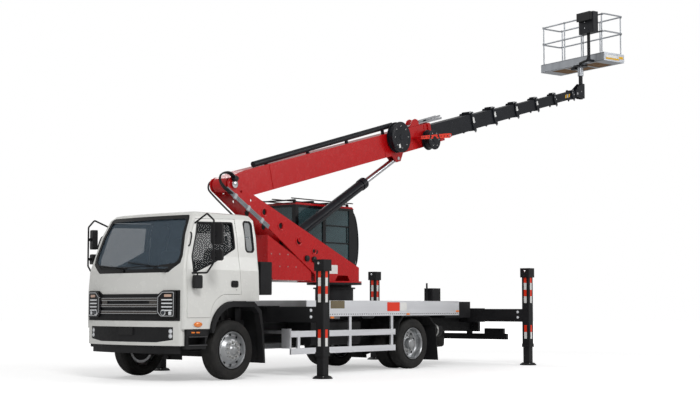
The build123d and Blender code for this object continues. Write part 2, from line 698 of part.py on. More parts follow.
# Doors, each with its pane
for side_name, side in SIDES:
    with BuildPart() as door:
        add(cab_outer)
        add(cab_inner, mode=Mode.SUBTRACT)
        with BuildSketch(side_plane()):
            add(door_profile(0, DOOR_LEAN))
        extrude(amount=side * -2 * CAB_HALF_Y, mode=Mode.INTERSECT)
        with BuildSketch(floor_plane(DOOR_LOW - 1)):
            Rectangle(4 * CAB_HALF_Y, 2 * (CAB_HALF_Y - CAB_WALL))
        extrude(amount=WAIST_Z - DOOR_LOW, mode=Mode.SUBTRACT)
        with Locations((0, 0, CAB_WALL)):
            add(cab_inner, mode=Mode.SUBTRACT)
        with BuildSketch(side_plane()):
            add(window_profile(0))
        extrude(amount=2 * CAB_HALF_Y, both=True, mode=Mode.SUBTRACT)
        for z in DOOR_HINGES:
            place = (DOOR_FRONT, side * CAB_HALF_Y, z)
            add(hinge_stack(*place, HINGE_R + HINGE_ROOM, -LUG_H - HINGE_ROOM, 0), mode=Mode.SUBTRACT)
            add(hinge_stack(*place, HINGE_R + HINGE_ROOM, KNUCKLE_H, KNUCKLE_H + LUG_H + HINGE_ROOM),
                mode=Mode.SUBTRACT)
            add(hinge_knuckle(*place))
            add(hinge_stack(*place, HINGE_PIN_R + RUNNING, -LUG_H, KNUCKLE_H + LUG_H), mode=Mode.SUBTRACT)
    keep(f"door_{side_name}", door.part)
    with BuildPart() as door_pane:
        add(glass_outer)
        add(glass_inner, mode=Mode.SUBTRACT)
        with BuildSketch(side_plane()):
            add(window_profile(SEAT))
        extrude(amount=side * -2 * CAB_HALF_Y, mode=Mode.INTERSECT)
    keep(f"door_glass_{side_name}", door_pane.part)

# Cab interior: dashboard, seats, steering wheel and column
FLOOR_Z = ARCH_TOP + CAB_WALL + SEAT
WHEEL_X = -510.0
WHEEL_Z = WAIST_Z + 330
with BuildPart() as cab_interior:
    with BuildSketch(side_plane()):
        with BuildLine():
            Polyline((CAB_FRONT + 150, FLOOR_Z), (CAB_FRONT + 150, WAIST_Z + 210), (CAB_FRONT + 350, WAIST_Z + 265),
                     (CAB_FRONT + 450, WAIST_Z + 150), (CAB_FRONT + 400, WAIST_Z - 60), (CAB_FRONT + 300, FLOOR_Z),
                     close=True)
        make_face()
    extrude(amount=860, both=True)
    for seat_y in (-480, 480):
        with BuildSketch(side_plane(seat_y + 240)):
            with BuildLine():
                Polyline((-330, FLOOR_Z), (-330, FLOOR_Z + 190), (130, FLOOR_Z + 160), (260, FLOOR_Z + 760),
                         (360, FLOOR_Z + 740), (240, FLOOR_Z), close=True)
            make_face()
        extrude(amount=480)
        with BuildSketch(side_plane(seat_y + 120)):
            with Locations((335, FLOOR_Z + 850)):
                RectangleRounded(80, 180, 30)
        extrude(amount=240)
        with BuildSketch(side_plane(seat_y + 60)):
            with Locations((325, FLOOR_Z + 750)):
                Rectangle(30, 60)
        extrude(amount=120)
    column = Plane(origin=(at(WHEEL_X), -480, WHEEL_Z), x_dir=(0, 1, 0), z_dir=(0.5, 0, 0.866))
    with BuildSketch(column):
        Circle(215)
        Circle(190, mode=Mode.SUBTRACT)
        Rectangle(400, 40)
        Rectangle(40, 400)
    extrude(amount=26)
    with BuildSketch(column):
        Circle(32)
    extrude(amount=-300)
keep("cab_interior", cab_interior.part)

# Front panel: dark backing, bright bars and a lamp at each end, all bowed with the cab
LAMP_IN = 620.0
LAMP_OUT = 943.0
LAMP_TOP = 1293.0
LAMP_LOW = 912.0
FILLER_OUT = 985.0
BACKING_T = 9.0
BAR_OUT = 34.0
BAR_H = 36.0
BAR_HEIGHTS = [1174.0, 1084.0, 986.0]


def front_piece(profile, near, far):
    """What stands ahead of the cab's skin from near to far, inside a front-view outline."""
    with BuildPart() as piece:
        with BuildSketch(cross_plane(CAB_FRONT - 150)):
            add(profile)
        extrude(amount=400)
        add(cab_body(-far), mode=Mode.INTERSECT)
        add(cab_body(-near), mode=Mode.SUBTRACT)
    return piece.part


def both_sides(points):
    """Front-view points and their mirror images, as one closed ring."""
    return [*points, *[(-y, z) for y, z in reversed(points)]]


with BuildSketch() as backing:
    with BuildLine():
        Polyline(*both_sides([(FILLER_OUT, GRILLE_LOW), (FILLER_OUT, LAMP_TOP + 8), (LAMP_IN + 80, LAMP_TOP + 8),
                              (LAMP_IN - 10, GRILLE_TOP)]), close=True)
    make_face()
keep("grille", front_piece(backing.sketch, SEAT, BACKING_T))

with BuildPart() as grille_bars:
    for z in BAR_HEIGHTS:
        with BuildSketch() as bar:
            with Locations((0, z)):
                Rectangle(2 * LAMP_IN - 8, BAR_H)
        add(front_piece(bar.sketch, BACKING_T + SEAT, BAR_OUT))
    with BuildSketch() as links:
        for side in (-1, 1):
            with Locations((side * (LAMP_IN - 90), (BAR_HEIGHTS[0] + BAR_HEIGHTS[1]) / 2)):
                Rectangle(150, BAR_HEIGHTS[0] - BAR_HEIGHTS[1])
    add(front_piece(links.sketch, BACKING_T + SEAT, BAR_OUT - 8))
keep("grille_bars", Compound(children=grille_bars.solids()))

with BuildSketch() as lamp_outline:
    for side in (-1, 1):
        with BuildLine():
            Polyline((side * LAMP_OUT, LAMP_LOW), (side * LAMP_OUT, LAMP_TOP), (side * (LAMP_IN + 90), LAMP_TOP),
                     (side * LAMP_IN, LAMP_TOP - 85), (side * LAMP_IN, LAMP_LOW + 60), (side * (LAMP_IN + 60), LAMP_LOW),
                     close=True)
        make_face()
keep("headlamps", Compound(children=front_piece(lamp_outline.sketch, BACKING_T + SEAT, BAR_OUT + 12).solids()))


BUMPER_BOW = 128.0


def bumper_block(inset, half_y, low, top):
    """A bowed block in front of the cab between two heights."""
    with BuildPart() as block:
        with BuildSketch(floor_plane(low)):
            with BuildLine():
                front = inset - FRONT_OVERHANG
                side = front + BUMPER_BOW + 55
                back = BUMPER_BACK + 60
                near = half_y - 50
                ThreePointArc((front + BUMPER_BOW, -near), (front, 0), (front + BUMPER_BOW, near))
                ThreePointArc((front + BUMPER_BOW, near), (side - 33, half_y - 12), (side, half_y))
                Polyline((side, half_y), (back, half_y), (back, -half_y), (side, -half_y))
                ThreePointArc((side, -half_y), (side - 33, 12 - half_y), (front + BUMPER_BOW, -near))
            make_face()
        extrude(amount=top - low)
    return block.part


INSET_DEEP = 40.0
INSET_PROUD = 12.0
with BuildSketch() as bumper_inset:
    with BuildLine():
        Polyline(*both_sides([(600, BUMPER_LOW + 47), (885, BUMPER_LOW + 85), (885, BUMPER_TOP - 82)]), close=True)
    make_face()
with BuildPart() as pocket:
    with BuildSketch(cross_plane(-FRONT_OVERHANG - 10)):
        add(bumper_inset.sketch)
    extrude(amount=300)
    add(bumper_block(INSET_DEEP, BUMPER_HALF_Y, BUMPER_LOW - 10, BUMPER_TOP + 10), mode=Mode.SUBTRACT)
with BuildPart() as bumper:
    add(bumper_block(0, BUMPER_HALF_Y, BUMPER_LOW, BUMPER_TOP))
    add(pocket.part, mode=Mode.SUBTRACT)
    with BuildSketch(floor_plane(BUMPER_LOW - 1)):
        with Locations((BUMPER_BACK + 100, 0)):
            Rectangle(200, 2 * BUMPER_HALF_Y + 10)
    extrude(amount=BUMPER_TOP - BUMPER_LOW + 2, mode=Mode.SUBTRACT)
    add(cab_body(-SEAT), mode=Mode.SUBTRACT)
keep("bumper", bumper.part)

# Dark lining of the bumper's pocket with a blank plate, and the strip below
with BuildPart() as pocket_lining:
    with BuildSketch(cross_plane(-FRONT_OVERHANG - 10)):
        add(bumper_inset.sketch)
        offset(amount=-SEAT)
    extrude(amount=300)
    add(bumper_block(INSET_DEEP - SEAT, BUMPER_HALF_Y, BUMPER_LOW - 10, BUMPER_TOP + 10), mode=Mode.SUBTRACT)
    add(bumper_block(INSET_PROUD, BUMPER_HALF_Y, BUMPER_LOW, BUMPER_TOP), mode=Mode.INTERSECT)
    with BuildSketch(cross_plane(-FRONT_OVERHANG)):
        with Locations((0, BUMPER_TOP - 142)):
            RectangleRounded(320, 116, 10)
    extrude(amount=20)
    add(cab_body(-SEAT), mode=Mode.SUBTRACT)
with BuildPart() as strip:
    add(bumper_block(26, BUMPER_HALF_Y - 70, STRIP_LOW, BUMPER_LOW - SEAT))
    with BuildSketch(floor_plane(STRIP_LOW - 1)):
        with Locations((BUMPER_BACK + 100, 0)):
            Rectangle(200, 2 * BUMPER_HALF_Y)
    extrude(amount=BUMPER_LOW, mode=Mode.SUBTRACT)
keep("bumper_trim", Compound(children=[*pocket_lining.solids(), *strip.solids()]))

# Mudguards: front arch flares with liners, flaps and steps, rear arches with flaps
GUARD_T = 12.0
GUARD_TOP = 904.0
FLARE_IN_Y = 700.0
FLARE_LIP_Y = 985.0
FLARE_OUT_Y = 1095.0
FLARE_LOW = 690.0
FLAP_LOW = 225.0
LIP_DEEP = 78.0
REAR_GUARD_Y = 1110.0
REAR_GUARD_W = 610.0
STEP_IN_Y = 860.0
STEP_OUT_Y = 1045.0
STEP_FRONT = BUMPER_BACK + 8


def flare_profile(deep, low):
    """The front arch's band in side view from its low front end, deep measured inward from the arch."""
    with BuildSketch() as band:
        rings = []
        for d in (0.0, deep):
            rings.append([(ARCH_FRONT + ARCH_GAP + 0.45 * d, low),
                          (ARCH_FRONT + ARCH_GAP + 0.85 * d, CAB_LOW - ARCH_GAP),
                          (ARCH_FRONT + 148 + 0.7 * d, ARCH_TOP - 131 - 0.7 * d), (-20, ARCH_TOP - ARCH_GAP - d),
                          (430, ARCH_TOP - ARCH_GAP - d), (585 - 0.7 * d, 1010 - 0.5 * d), (640 - 0.6 * d, 700),
                          (672 - 0.4 * d, FLAP_LOW)])
        outer, inner = rings
        with BuildLine():
            Line(outer[0], outer[1])
            ThreePointArc(outer[1], outer[2], outer[3])
            Polyline(*outer[3:], *reversed(inner[3:]))
            ThreePointArc(inner[3], inner[2], inner[1])
            Polyline(inner[1], inner[0], outer[0])
        make_face()
    return band.sketch


guards = []
for side in (-1, 1):
    with BuildPart() as guard:
        with BuildSketch(side_plane(side * FLARE_OUT_Y)):
            add(flare_profile(LIP_DEEP, FLARE_LOW))
        extrude(amount=side * (FLARE_OUT_Y - FLARE_LIP_Y))
        with BuildSketch(side_plane(side * FLARE_LIP_Y)):
            add(flare_profile(GUARD_T, CAB_LOW - ARCH_GAP - 8))
        extrude(amount=side * (FLARE_LIP_Y - FLARE_IN_Y))
        with BuildSketch(side_plane(side * STEP_OUT_Y)):
            with Locations((ARCH_FRONT, CAB_LOW - ARCH_GAP - 12)):
                Rectangle(34, 24)
        extrude(amount=side * (STEP_OUT_Y - FLARE_LIP_Y))
        with BuildSketch(side_plane(side * STEP_OUT_Y)):
            with BuildLine():
                Polyline((STEP_FRONT, 465), (STEP_FRONT, CAB_LOW - ARCH_GAP), (ARCH_FRONT, CAB_LOW - ARCH_GAP),
                         (ARCH_FRONT, CAB_LOW - 50), (ARCH_FRONT - 60, CAB_LOW - 190), (ARCH_FRONT - 60, 465),
                         close=True)
            make_face()
            with Locations((-700, 590)):
                RectangleRounded(330, 130, 20, mode=Mode.SUBTRACT)
        extrude(amount=side * (STEP_OUT_Y - STEP_IN_Y))
        with BuildSketch(side_plane(side * (STEP_IN_Y + 30))):
            with Locations((-700, 590)):
                Rectangle(340, 140)
        extrude(amount=side * 30)
        with BuildSketch(floor_plane(600)):
            with Locations((-780, side * (RAIL_Y + SEAT + STEP_IN_Y) / 2)):
                Rectangle(60, STEP_IN_Y - RAIL_Y - SEAT)
        extrude(amount=80)
    guards += guard.solids()
    with BuildPart() as rear_guard:
        with BuildSketch(side_plane(side * REAR_GUARD_Y)):
            with BuildLine():
                Polyline((WHEELBASE - 510, 560), (WHEELBASE - 440, 800), (WHEELBASE - 330, GUARD_TOP),
                         (WHEELBASE + 430, GUARD_TOP), (WHEELBASE + 610, 740), (WHEELBASE + 690, 130),
                         (WHEELBASE + 690 - GUARD_T, 130), (WHEELBASE + 610 - GUARD_T, 734),
                         (WHEELBASE + 424, GUARD_TOP - GUARD_T), (WHEELBASE - 324, GUARD_TOP - GUARD_T),
                         (WHEELBASE - 430, 792), (WHEELBASE - 510 + GUARD_T, 560), close=True)
            make_face()
        extrude(amount=side * REAR_GUARD_W)
        with BuildSketch(floor_plane(GUARD_TOP)):
            for x in (WHEELBASE - 250, WHEELBASE + 350):
                with Locations((x, side * (REAR_GUARD_Y - REAR_GUARD_W / 2 + 25))):
                    Rectangle(40, REAR_GUARD_W - 50)
        extrude(amount=BED_EDGE_LOW - GUARD_TOP - SEAT)
    guards += rear_guard.solids()
keep("mudguards", Compound(children=guards))

# Mirrors: on each door a tube loop with two heads turned to the driver, and a small one below
MIRROR_R = 13.0
MIRROR_BAR_X = -700.0
MIRROR_BAR_Y = 1372.0
MIRROR_TURN = 25.0
MIRROR_W = 170.0
MIRROR_T = 80.0
for side_name, side in SIDES:
    with BuildPart() as mirror:
        with BuildLine():
            loop_path = FilletPolyline((at(-646), side * 915, 2262), (at(MIRROR_BAR_X), side * 1232, 2390),
                                       (at(MIRROR_BAR_X), side * MIRROR_BAR_Y, 2290),
                                       (at(MIRROR_BAR_X), side * MIRROR_BAR_Y, 1690),
                                       (at(MIRROR_BAR_X - 4), side * 1245, 1548), (at(-800), side * 1020, 1545),
                                       radius=40)
        with BuildSketch(Plane(origin=loop_path @ 0, z_dir=loop_path % 0)):
            Circle(MIRROR_R)
        sweep()
        look_x, look_y = turned(1, 0, MIRROR_TURN)
        for z, height in ((2100, 300), (1797, 155)):
            head = Plane(origin=(at(MIRROR_BAR_X + 90), side * (MIRROR_BAR_Y - 22), z),
                         x_dir=(look_y, side * look_x, 0), z_dir=(look_x, -side * look_y, 0))
            with BuildSketch(head):
                RectangleRounded(MIRROR_W, height, 36)
            extrude(amount=MIRROR_T / 2, both=True)
            with BuildSketch(cross_plane(MIRROR_BAR_X - 5)):
                with Locations((side * (MIRROR_BAR_Y - 7), z)):
                    Rectangle(24, 44)
            extrude(amount=70)
        with BuildSketch(side_plane(side * 1150)):
            with Locations((-765, 1420)):
                RectangleRounded(141, 190, 28)
        extrude(amount=side * 65)
        with BuildSketch(floor_plane(1500)):
            with Locations((-765, side * 1115)):
                Circle(11)
        extrude(amount=50)
        add(cab_outer, mode=Mode.SUBTRACT)
    keep(f"mirror_{side_name}", mirror.part)

# Boxes and tanks hung on the frame, and the box behind the cab
AIR_TANK_X = WHEELBASE + 710
REAR_BOX_LOW = 1244.0
REAR_BOX_H = 501.0
boxes = []
for side in (-1, 1):
    with BuildPart() as tank:
        with BuildSketch(cross_plane(FRONT_JACK_X + 790)):
            with Locations((side * (RAIL_Y + 290), RAIL_LOW + 30)):
                RectangleRounded(500, 400, 60)
        extrude(amount=1250)
        with BuildSketch(cross_plane(FRONT_JACK_X + 890)):
            with Locations((side * (RAIL_Y + SEAT + 30), RAIL_LOW + 120)):
                Rectangle(60, 100)
        extrude(amount=900)
        with BuildSketch(cross_plane(AIR_TANK_X)):
            with Locations((side * (RAIL_Y + 250), RAIL_LOW + 20)):
                Circle(120)
        extrude(amount=620)
        with BuildSketch(cross_plane(AIR_TANK_X + 170)):
            with Locations((side * (RAIL_Y + SEAT + 80), RAIL_LOW + 80)):
                Rectangle(160, 90)
        extrude(amount=300)
    boxes += tank.solids()
with BuildPart() as rear_box:
    with BuildSketch(cross_plane(CAB_REAR + 40)):
        with Locations((-760, REAR_BOX_LOW + REAR_BOX_H / 2)):
            RectangleRounded(520, REAR_BOX_H, 20)
    extrude(amount=250)
    with BuildSketch(cross_plane(CAB_REAR + 60)):
        with Locations((-500, REAR_BOX_LOW - 80)):
            Rectangle(180, 220)
        with Locations((-RAIL_Y - SEAT - 40, (RAIL_TOP + REAR_BOX_LOW) / 2 - 70)):
            Rectangle(80, REAR_BOX_LOW - RAIL_TOP - 120)
    extrude(amount=120)
boxes += rear_box.solids()
keep("chassis_boxes", Compound(children=boxes))

# Side guards: two rails on posts, and a plate that bends inward at the front
GUARD_Y = 1095.0
GUARD_RAIL_H = 95.0
GUARD_END = WHEELBASE - TYRE_R - 95
FIRST_POST = FRONT_JACK_X + 321
side_guards = []
for jack_name, side, x, z in JACKS[:2]:
    guard_front = x + LEG_SIZE / 2 + 65
    with BuildPart() as side_guard:
        with BuildSketch(side_plane(side * GUARD_Y)):
            for z in (645, 380):
                with Locations(((guard_front + GUARD_END) / 2, z)):
                    Rectangle(GUARD_END - guard_front, GUARD_RAIL_H)
            for x in (FIRST_POST, (FIRST_POST + GUARD_END) / 2 + 25, GUARD_END - 95):
                with Locations((x, 512)):
                    Rectangle(60, 360)
            for x in ((FIRST_POST + GUARD_END) / 2 + 25, GUARD_END - 95):
                with Locations((x, 800)):
                    Rectangle(60, 2 * (BED_EDGE_LOW - 800 - SEAT))
        extrude(amount=side * 30)
        with BuildSketch(cross_plane(FIRST_POST - 30)):
            with Locations((side * (RAIL_Y + SEAT + GUARD_Y - 20) / 2, 670)):
                Rectangle(GUARD_Y - 20 - RAIL_Y - SEAT, 50)
        extrude(amount=60)
        with BuildSketch(floor_plane(425)):
            with BuildLine():
                Polyline((guard_front + 6, side * GUARD_Y), (guard_front - 16, side * (GUARD_Y - 14)),
                         (guard_front - 60, side * (GUARD_Y - 145)), (guard_front - 42, side * (GUARD_Y - 145)),
                         (guard_front + 6, side * (GUARD_Y - 28)), close=True)
            make_face()
        extrude(amount=303)
    side_guards += side_guard.solids()
keep("side_guards", Compound(children=side_guards))

# Bed: a deck with an edge profile all round and a hole for the pedestal
BED_SINK = 40.0          # deck below the edge
BED_UNDER = BED_TOP - BED_SINK - BED_PLATE_T
BED_MID = (BED_FRONT + BED_REAR) / 2
BED_LONG = BED_REAR - BED_FRONT
FOOT_FLANGE_R = 480.0
with BuildPart() as bed:
    with BuildSketch(floor_plane(BED_UNDER)):
        with Locations((BED_MID, 0)):
            Rectangle(BED_LONG, 2 * BED_HALF_Y - 10)
    extrude(amount=BED_PLATE_T)
    with BuildSketch(floor_plane(BED_EDGE_LOW)):
        with Locations((BED_MID, 0)):
            Rectangle(BED_LONG, 2 * BED_HALF_Y)
            Rectangle(BED_LONG - 2 * BED_SILL_T, 2 * (BED_HALF_Y - BED_SILL_T), mode=Mode.SUBTRACT)
    extrude(amount=BED_TOP - BED_EDGE_LOW)
    for share in (0.10, 0.27, 0.66, 0.82):
        with BuildSketch(cross_plane(BED_FRONT + share * BED_LONG)):
            with Locations((0, (BED_EDGE_LOW + BED_UNDER) / 2)):
                Rectangle(2 * BED_HALF_Y - BED_SILL_T, BED_UNDER - BED_EDGE_LOW)
        extrude(amount=60)
    for side in (-1, 1):
        with BuildSketch(cross_plane(BED_FRONT)):
            with Locations((side * (RAIL_Y - RAIL_W / 2), (RAIL_TOP + BED_UNDER + SEAT) / 2)):
                Rectangle(RAIL_W, BED_UNDER - RAIL_TOP - SEAT)
        extrude(amount=BED_LONG)
    with BuildSketch(floor_plane(RAIL_TOP)):
        with Locations((SLEW_X, 0)):
            Circle(FOOT_FLANGE_R + 20)
    extrude(amount=BED_TOP - RAIL_TOP, mode=Mode.SUBTRACT)
keep("bed", bed.part)

# Pedestal, a turned column: height of each step's top and its radius
PEDESTAL_STEPS = [
    (RAIL_TOP + 60, FOOT_FLANGE_R),
    (PEDESTAL_TOP - 105, PEDESTAL_R),
    (PEDESTAL_TOP - 80, PEDESTAL_R + 35),
    (PEDESTAL_TOP - RING_T, PEDESTAL_R - 30),
    (PEDESTAL_TOP, RING_R),
]
with BuildPart() as pedestal:
    low = RAIL_TOP + SEAT
    for top, radius in PEDESTAL_STEPS:
        with BuildSketch(floor_plane(low)):
            with Locations((SLEW_X, 0)):
                Circle(radius)
        extrude(amount=top - low)
        low = top
keep("pedestal", pedestal.part)

# A box and a stick on the deck
DECK_Z = BED_TOP - BED_SINK + SEAT
with BuildPart() as deck_boxes:
    with BuildSketch(floor_plane(DECK_Z)):
        with Locations((WHEELBASE + 1010, -760)):
            RectangleRounded(260, 200, 30)
    extrude(amount=270)
    with BuildSketch(floor_plane(DECK_Z)):
        with Locations((WHEELBASE + 840, -760)):
            Circle(16)
    extrude(amount=360)
keep("deck_boxes", Compound(children=deck_boxes.solids()))

# Rear gear: black boxes, underrun bar and tail lamps
GEAR_TOP = BED_TOP - 8
with BuildPart() as rear_gear:
    with BuildSketch(cross_plane(BED_REAR + 95)):
        with Locations((0, (RAIL_TOP + SEAT + GEAR_TOP) / 2)):
            Rectangle(1500, GEAR_TOP - RAIL_TOP - SEAT)
    extrude(amount=REAR_JACK_X - TUBE_W - BED_REAR - 165)
    with BuildSketch(cross_plane(RAIL_REAR + SEAT)):
        with Locations((0, (RAIL_LOW + RAIL_TOP) / 2)):
            Rectangle(1100, 300)
        with Locations((0, RAIL_LOW - 120)):
            Rectangle(2360, 110)
        for side in (-1, 1):
            with Locations((side * 330, RAIL_LOW - 20)):
                Rectangle(90, 240)
            with Locations((side * 900, RAIL_LOW - 20)):
                Rectangle(420, 110)
    extrude(amount=70)
keep("rear_gear", rear_gear.part)

# Spare wheel, lying under the rear and hung from a cross member
SPARE_LOW = 330.0
SPARE_T = 230.0
with BuildPart() as spare:
    with BuildSketch(floor_plane(SPARE_LOW)):
        with Locations((SPARE_X, 0)):
            Circle(TYRE_R)
            Circle(150, mode=Mode.SUBTRACT)
    extrude(amount=SPARE_T)
    fillet(spare.edges().filter_by(GeomType.CIRCLE).filter_by(lambda e: e.radius > BEAD_R), TREAD_ROUND)
    with BuildSketch(floor_plane(SPARE_LOW + 70)):
        with Locations((SPARE_X, 0)):
            Rectangle(330, 60)
    extrude(amount=20)
    with BuildSketch(floor_plane(SPARE_LOW + 70)):
        with Locations((SPARE_X, 0)):
            Circle(20)
    extrude(amount=CROSS_LOW - SEAT - SPARE_LOW - 70)
keep("spare_wheel", spare.part)

# Tower: two raked plates with holes, turntable, webs and pins. The outline is
# in X behind the front axle and Z, the holes in X, height above the foot and radius.
PLATE_REAR = 4010.0
PLATE_STEP = 2841.0
plate_outline = [(PIVOT_X + 60, PIVOT_Z + 108), (PIVOT_X + 471, PIVOT_Z - 147), (PLATE_REAR, TOWER_LOW + 245),
                 (PLATE_REAR, TOWER_LOW - 5), (PLATE_STEP, TOWER_LOW - 5), (PLATE_STEP, TOWER_LOW + 104),
                 (PIVOT_X - 80, PIVOT_Z - 95), (PIVOT_X - 118, PIVOT_Z - 40)]
HOLE_TABLE = [(1586, 1084, 55), (1981, 881, 55), (2427, 649, 62), (2807, 494, 40), (1280, 1254, 22),
              (1051, 1379, 22)]
INNER_Y = PLATE_Y - PLATE_T
with BuildPart() as tower:
    for side in (-1, 1):
        with BuildSketch(side_plane(side * PLATE_Y)):
            with BuildLine():
                Polyline(*plate_outline, close=True)
            make_face()
            with Locations((PIVOT_X, PIVOT_Z)):
                Circle(PIVOT_ROUND)
            for x, lift, r in HOLE_TABLE:
                with Locations((x, TOWER_LOW + lift)):
                    Circle(r, mode=Mode.SUBTRACT)
            with BuildLine():
                Polyline((SLEW_X - 229, TOWER_LOW - 6), (SLEW_X - 149, TOWER_LOW + 100),
                         (SLEW_X + 121, TOWER_LOW + 100), (SLEW_X + 189, TOWER_LOW - 6), close=True)
            make_face(mode=Mode.SUBTRACT)
        extrude(amount=side * PLATE_T)
    with BuildSketch(floor_plane(PEDESTAL_TOP + SEAT)):
        with Locations((SLEW_X, 0)):
            Circle(RING_R)
        with Locations(((PLATE_STEP + PLATE_REAR) / 2, 0)):
            Rectangle(PLATE_REAR - PLATE_STEP, 2 * PLATE_Y)
    extrude(amount=TOWER_LOW - PEDESTAL_TOP - SEAT)
    with BuildSketch(side_plane(INNER_Y)):
        with Locations((PLATE_REAR - 130, TOWER_LOW + 140)):
            Rectangle(24, 290)
    extrude(amount=2 * INNER_Y)
    with BuildSketch(side_plane(PLATE_Y + 30)):
        with Locations((PIVOT_X, PIVOT_Z)):
            Circle(PIVOT_R)
    extrude(amount=2 * PLATE_Y + 60)
    for side in (-1, 1):
        with BuildSketch(side_plane(side * INNER_Y)):
            with Locations((FOOT_PIN_X, FOOT_PIN_Z)):
                Circle(FOOT_EYE_R)
        extrude(amount=side * (INNER_Y - FOOT_HALF_W - SEAT))
keep("tower", tower.part)

# Red box at the front of the tower's foot, between the plates
BOX_FRONT = 1690.0
with BuildPart() as cover:
    with BuildSketch(side_plane(INNER_Y - SEAT)):
        with BuildLine():
            Polyline((BOX_FRONT, TOWER_LOW + 725), (BOX_FRONT, TOWER_LOW + 160), (BOX_FRONT + 138, TOWER_LOW),
                     (PLATE_STEP - 81, TOWER_LOW), (PLATE_STEP - 81, TOWER_LOW + 200), close=True)
        make_face()
    extrude(amount=2 * (INNER_Y - SEAT))
keep("tower_box", cover.part)

# Operator's cabin on the right of the tower: a shell with large windows
OP_REAR = 4480.0
OP_FRONT = 2800.0
OP_IN_Y = PLATE_Y + SEAT
OP_OUT_Y = 1190.0
OP_LOW = TOWER_LOW + SEAT
OP_TOP = 2830.0
OP_WALL = 40.0
OP_GLASS = 5.0


def operator_body(inset):
    """The operator's cabin as a block with a curved screen to the rear."""
    with BuildPart() as body:
        with BuildSketch(side_plane(OP_OUT_Y - inset)):
            with BuildLine():
                Polyline((OP_FRONT, OP_LOW), (OP_FRONT, OP_TOP), (OP_REAR - 140, OP_TOP),
                         (OP_REAR - 98, OP_TOP - 125), (OP_REAR - 18, OP_TOP - 390), (OP_REAR, OP_LOW + 500),
                         (OP_REAR - 70, OP_LOW + 330), (OP_REAR - 190, OP_LOW), close=True)
            make_face()
            if inset:
                offset(amount=-inset)
        extrude(amount=OP_OUT_Y - OP_IN_Y - 2 * inset)
    return body.part


OP_DOOR = (3120.0, 3760.0, OP_LOW + 90, OP_TOP - 150)
OP_HINGES = [OP_LOW + 250, OP_TOP - 400]
op_outer = operator_body(0)
op_inner = operator_body(OP_WALL)
with BuildPart() as operator_cabin:
    add(op_outer)
    add(op_inner, mode=Mode.SUBTRACT)
    with BuildSketch(side_plane(OP_OUT_Y + 10)):
        with Locations(((OP_DOOR[0] + OP_DOOR[1]) / 2, (OP_DOOR[2] + OP_DOOR[3]) / 2)):
            Rectangle(OP_DOOR[1] - OP_DOOR[0] + 2 * PANEL_GAP, OP_DOOR[3] - OP_DOOR[2] + 2 * PANEL_GAP)
    extrude(amount=OP_WALL + 60, mode=Mode.SUBTRACT)
    with BuildSketch(side_plane(OP_OUT_Y + 10)):
        with Locations((4040, OP_LOW + 760)):
            Rectangle(440, 860)
    extrude(amount=OP_WALL + 60, mode=Mode.SUBTRACT)
    with BuildSketch(side_plane(OP_IN_Y + OP_WALL + 40)):
        with Locations((3920, OP_LOW + 800)):
            Rectangle(640, 940)
        with Locations((3200, OP_LOW + 860)):
            Rectangle(640, 820)
    extrude(amount=OP_WALL + 60, mode=Mode.SUBTRACT)
    with BuildSketch(cross_plane(OP_REAR - 420)):
        with Locations(((OP_IN_Y + OP_OUT_Y) / 2, OP_LOW + 740)):
            Rectangle(OP_OUT_Y - OP_IN_Y - 150, 1000)
    extrude(amount=600, mode=Mode.SUBTRACT)
    with BuildSketch(cross_plane(OP_FRONT - 60)):
        with Locations(((OP_IN_Y + OP_OUT_Y) / 2, OP_LOW + 885)):
            Rectangle(OP_OUT_Y - OP_IN_Y - 160, 770)
    extrude(amount=200, mode=Mode.SUBTRACT)
    for z in OP_HINGES:
        place = (OP_DOOR[0], OP_OUT_Y, z)
        add(hinge_stack(*place, HINGE_R + HINGE_ROOM, -SEAT, KNUCKLE_H + SEAT), mode=Mode.SUBTRACT)
        add(hinge_lugs(*place))
keep("operator_cabin", operator_cabin.part)

glass_a = operator_body(OP_WALL / 2 - OP_GLASS / 2)
glass_b = operator_body(OP_WALL / 2 + OP_GLASS / 2)
with BuildPart() as operator_glass:
    with BuildSketch(cross_plane(OP_REAR - 420)):
        with Locations(((OP_IN_Y + OP_OUT_Y) / 2, OP_LOW + 740)):
            Rectangle(OP_OUT_Y - OP_IN_Y - 150 - 2 * SEAT, 1000 - 2 * SEAT)
    extrude(amount=600)
    add(glass_a, mode=Mode.INTERSECT)
    add(glass_b, mode=Mode.SUBTRACT)
keep("operator_glass", Compound(children=operator_glass.solids()))

with BuildPart() as operator_seat:
    with BuildSketch(side_plane(OP_IN_Y + 720)):
        with BuildLine():
            Polyline((3900, OP_LOW + OP_WALL + SEAT), (3900, OP_LOW + 480), (3480, OP_LOW + 460),
                     (3370, OP_LOW + 1080), (3270, OP_LOW + 1060), (3380, OP_LOW + OP_WALL + SEAT), close=True)
        make_face()
    extrude(amount=460)
keep("operator_seat", operator_seat.part)

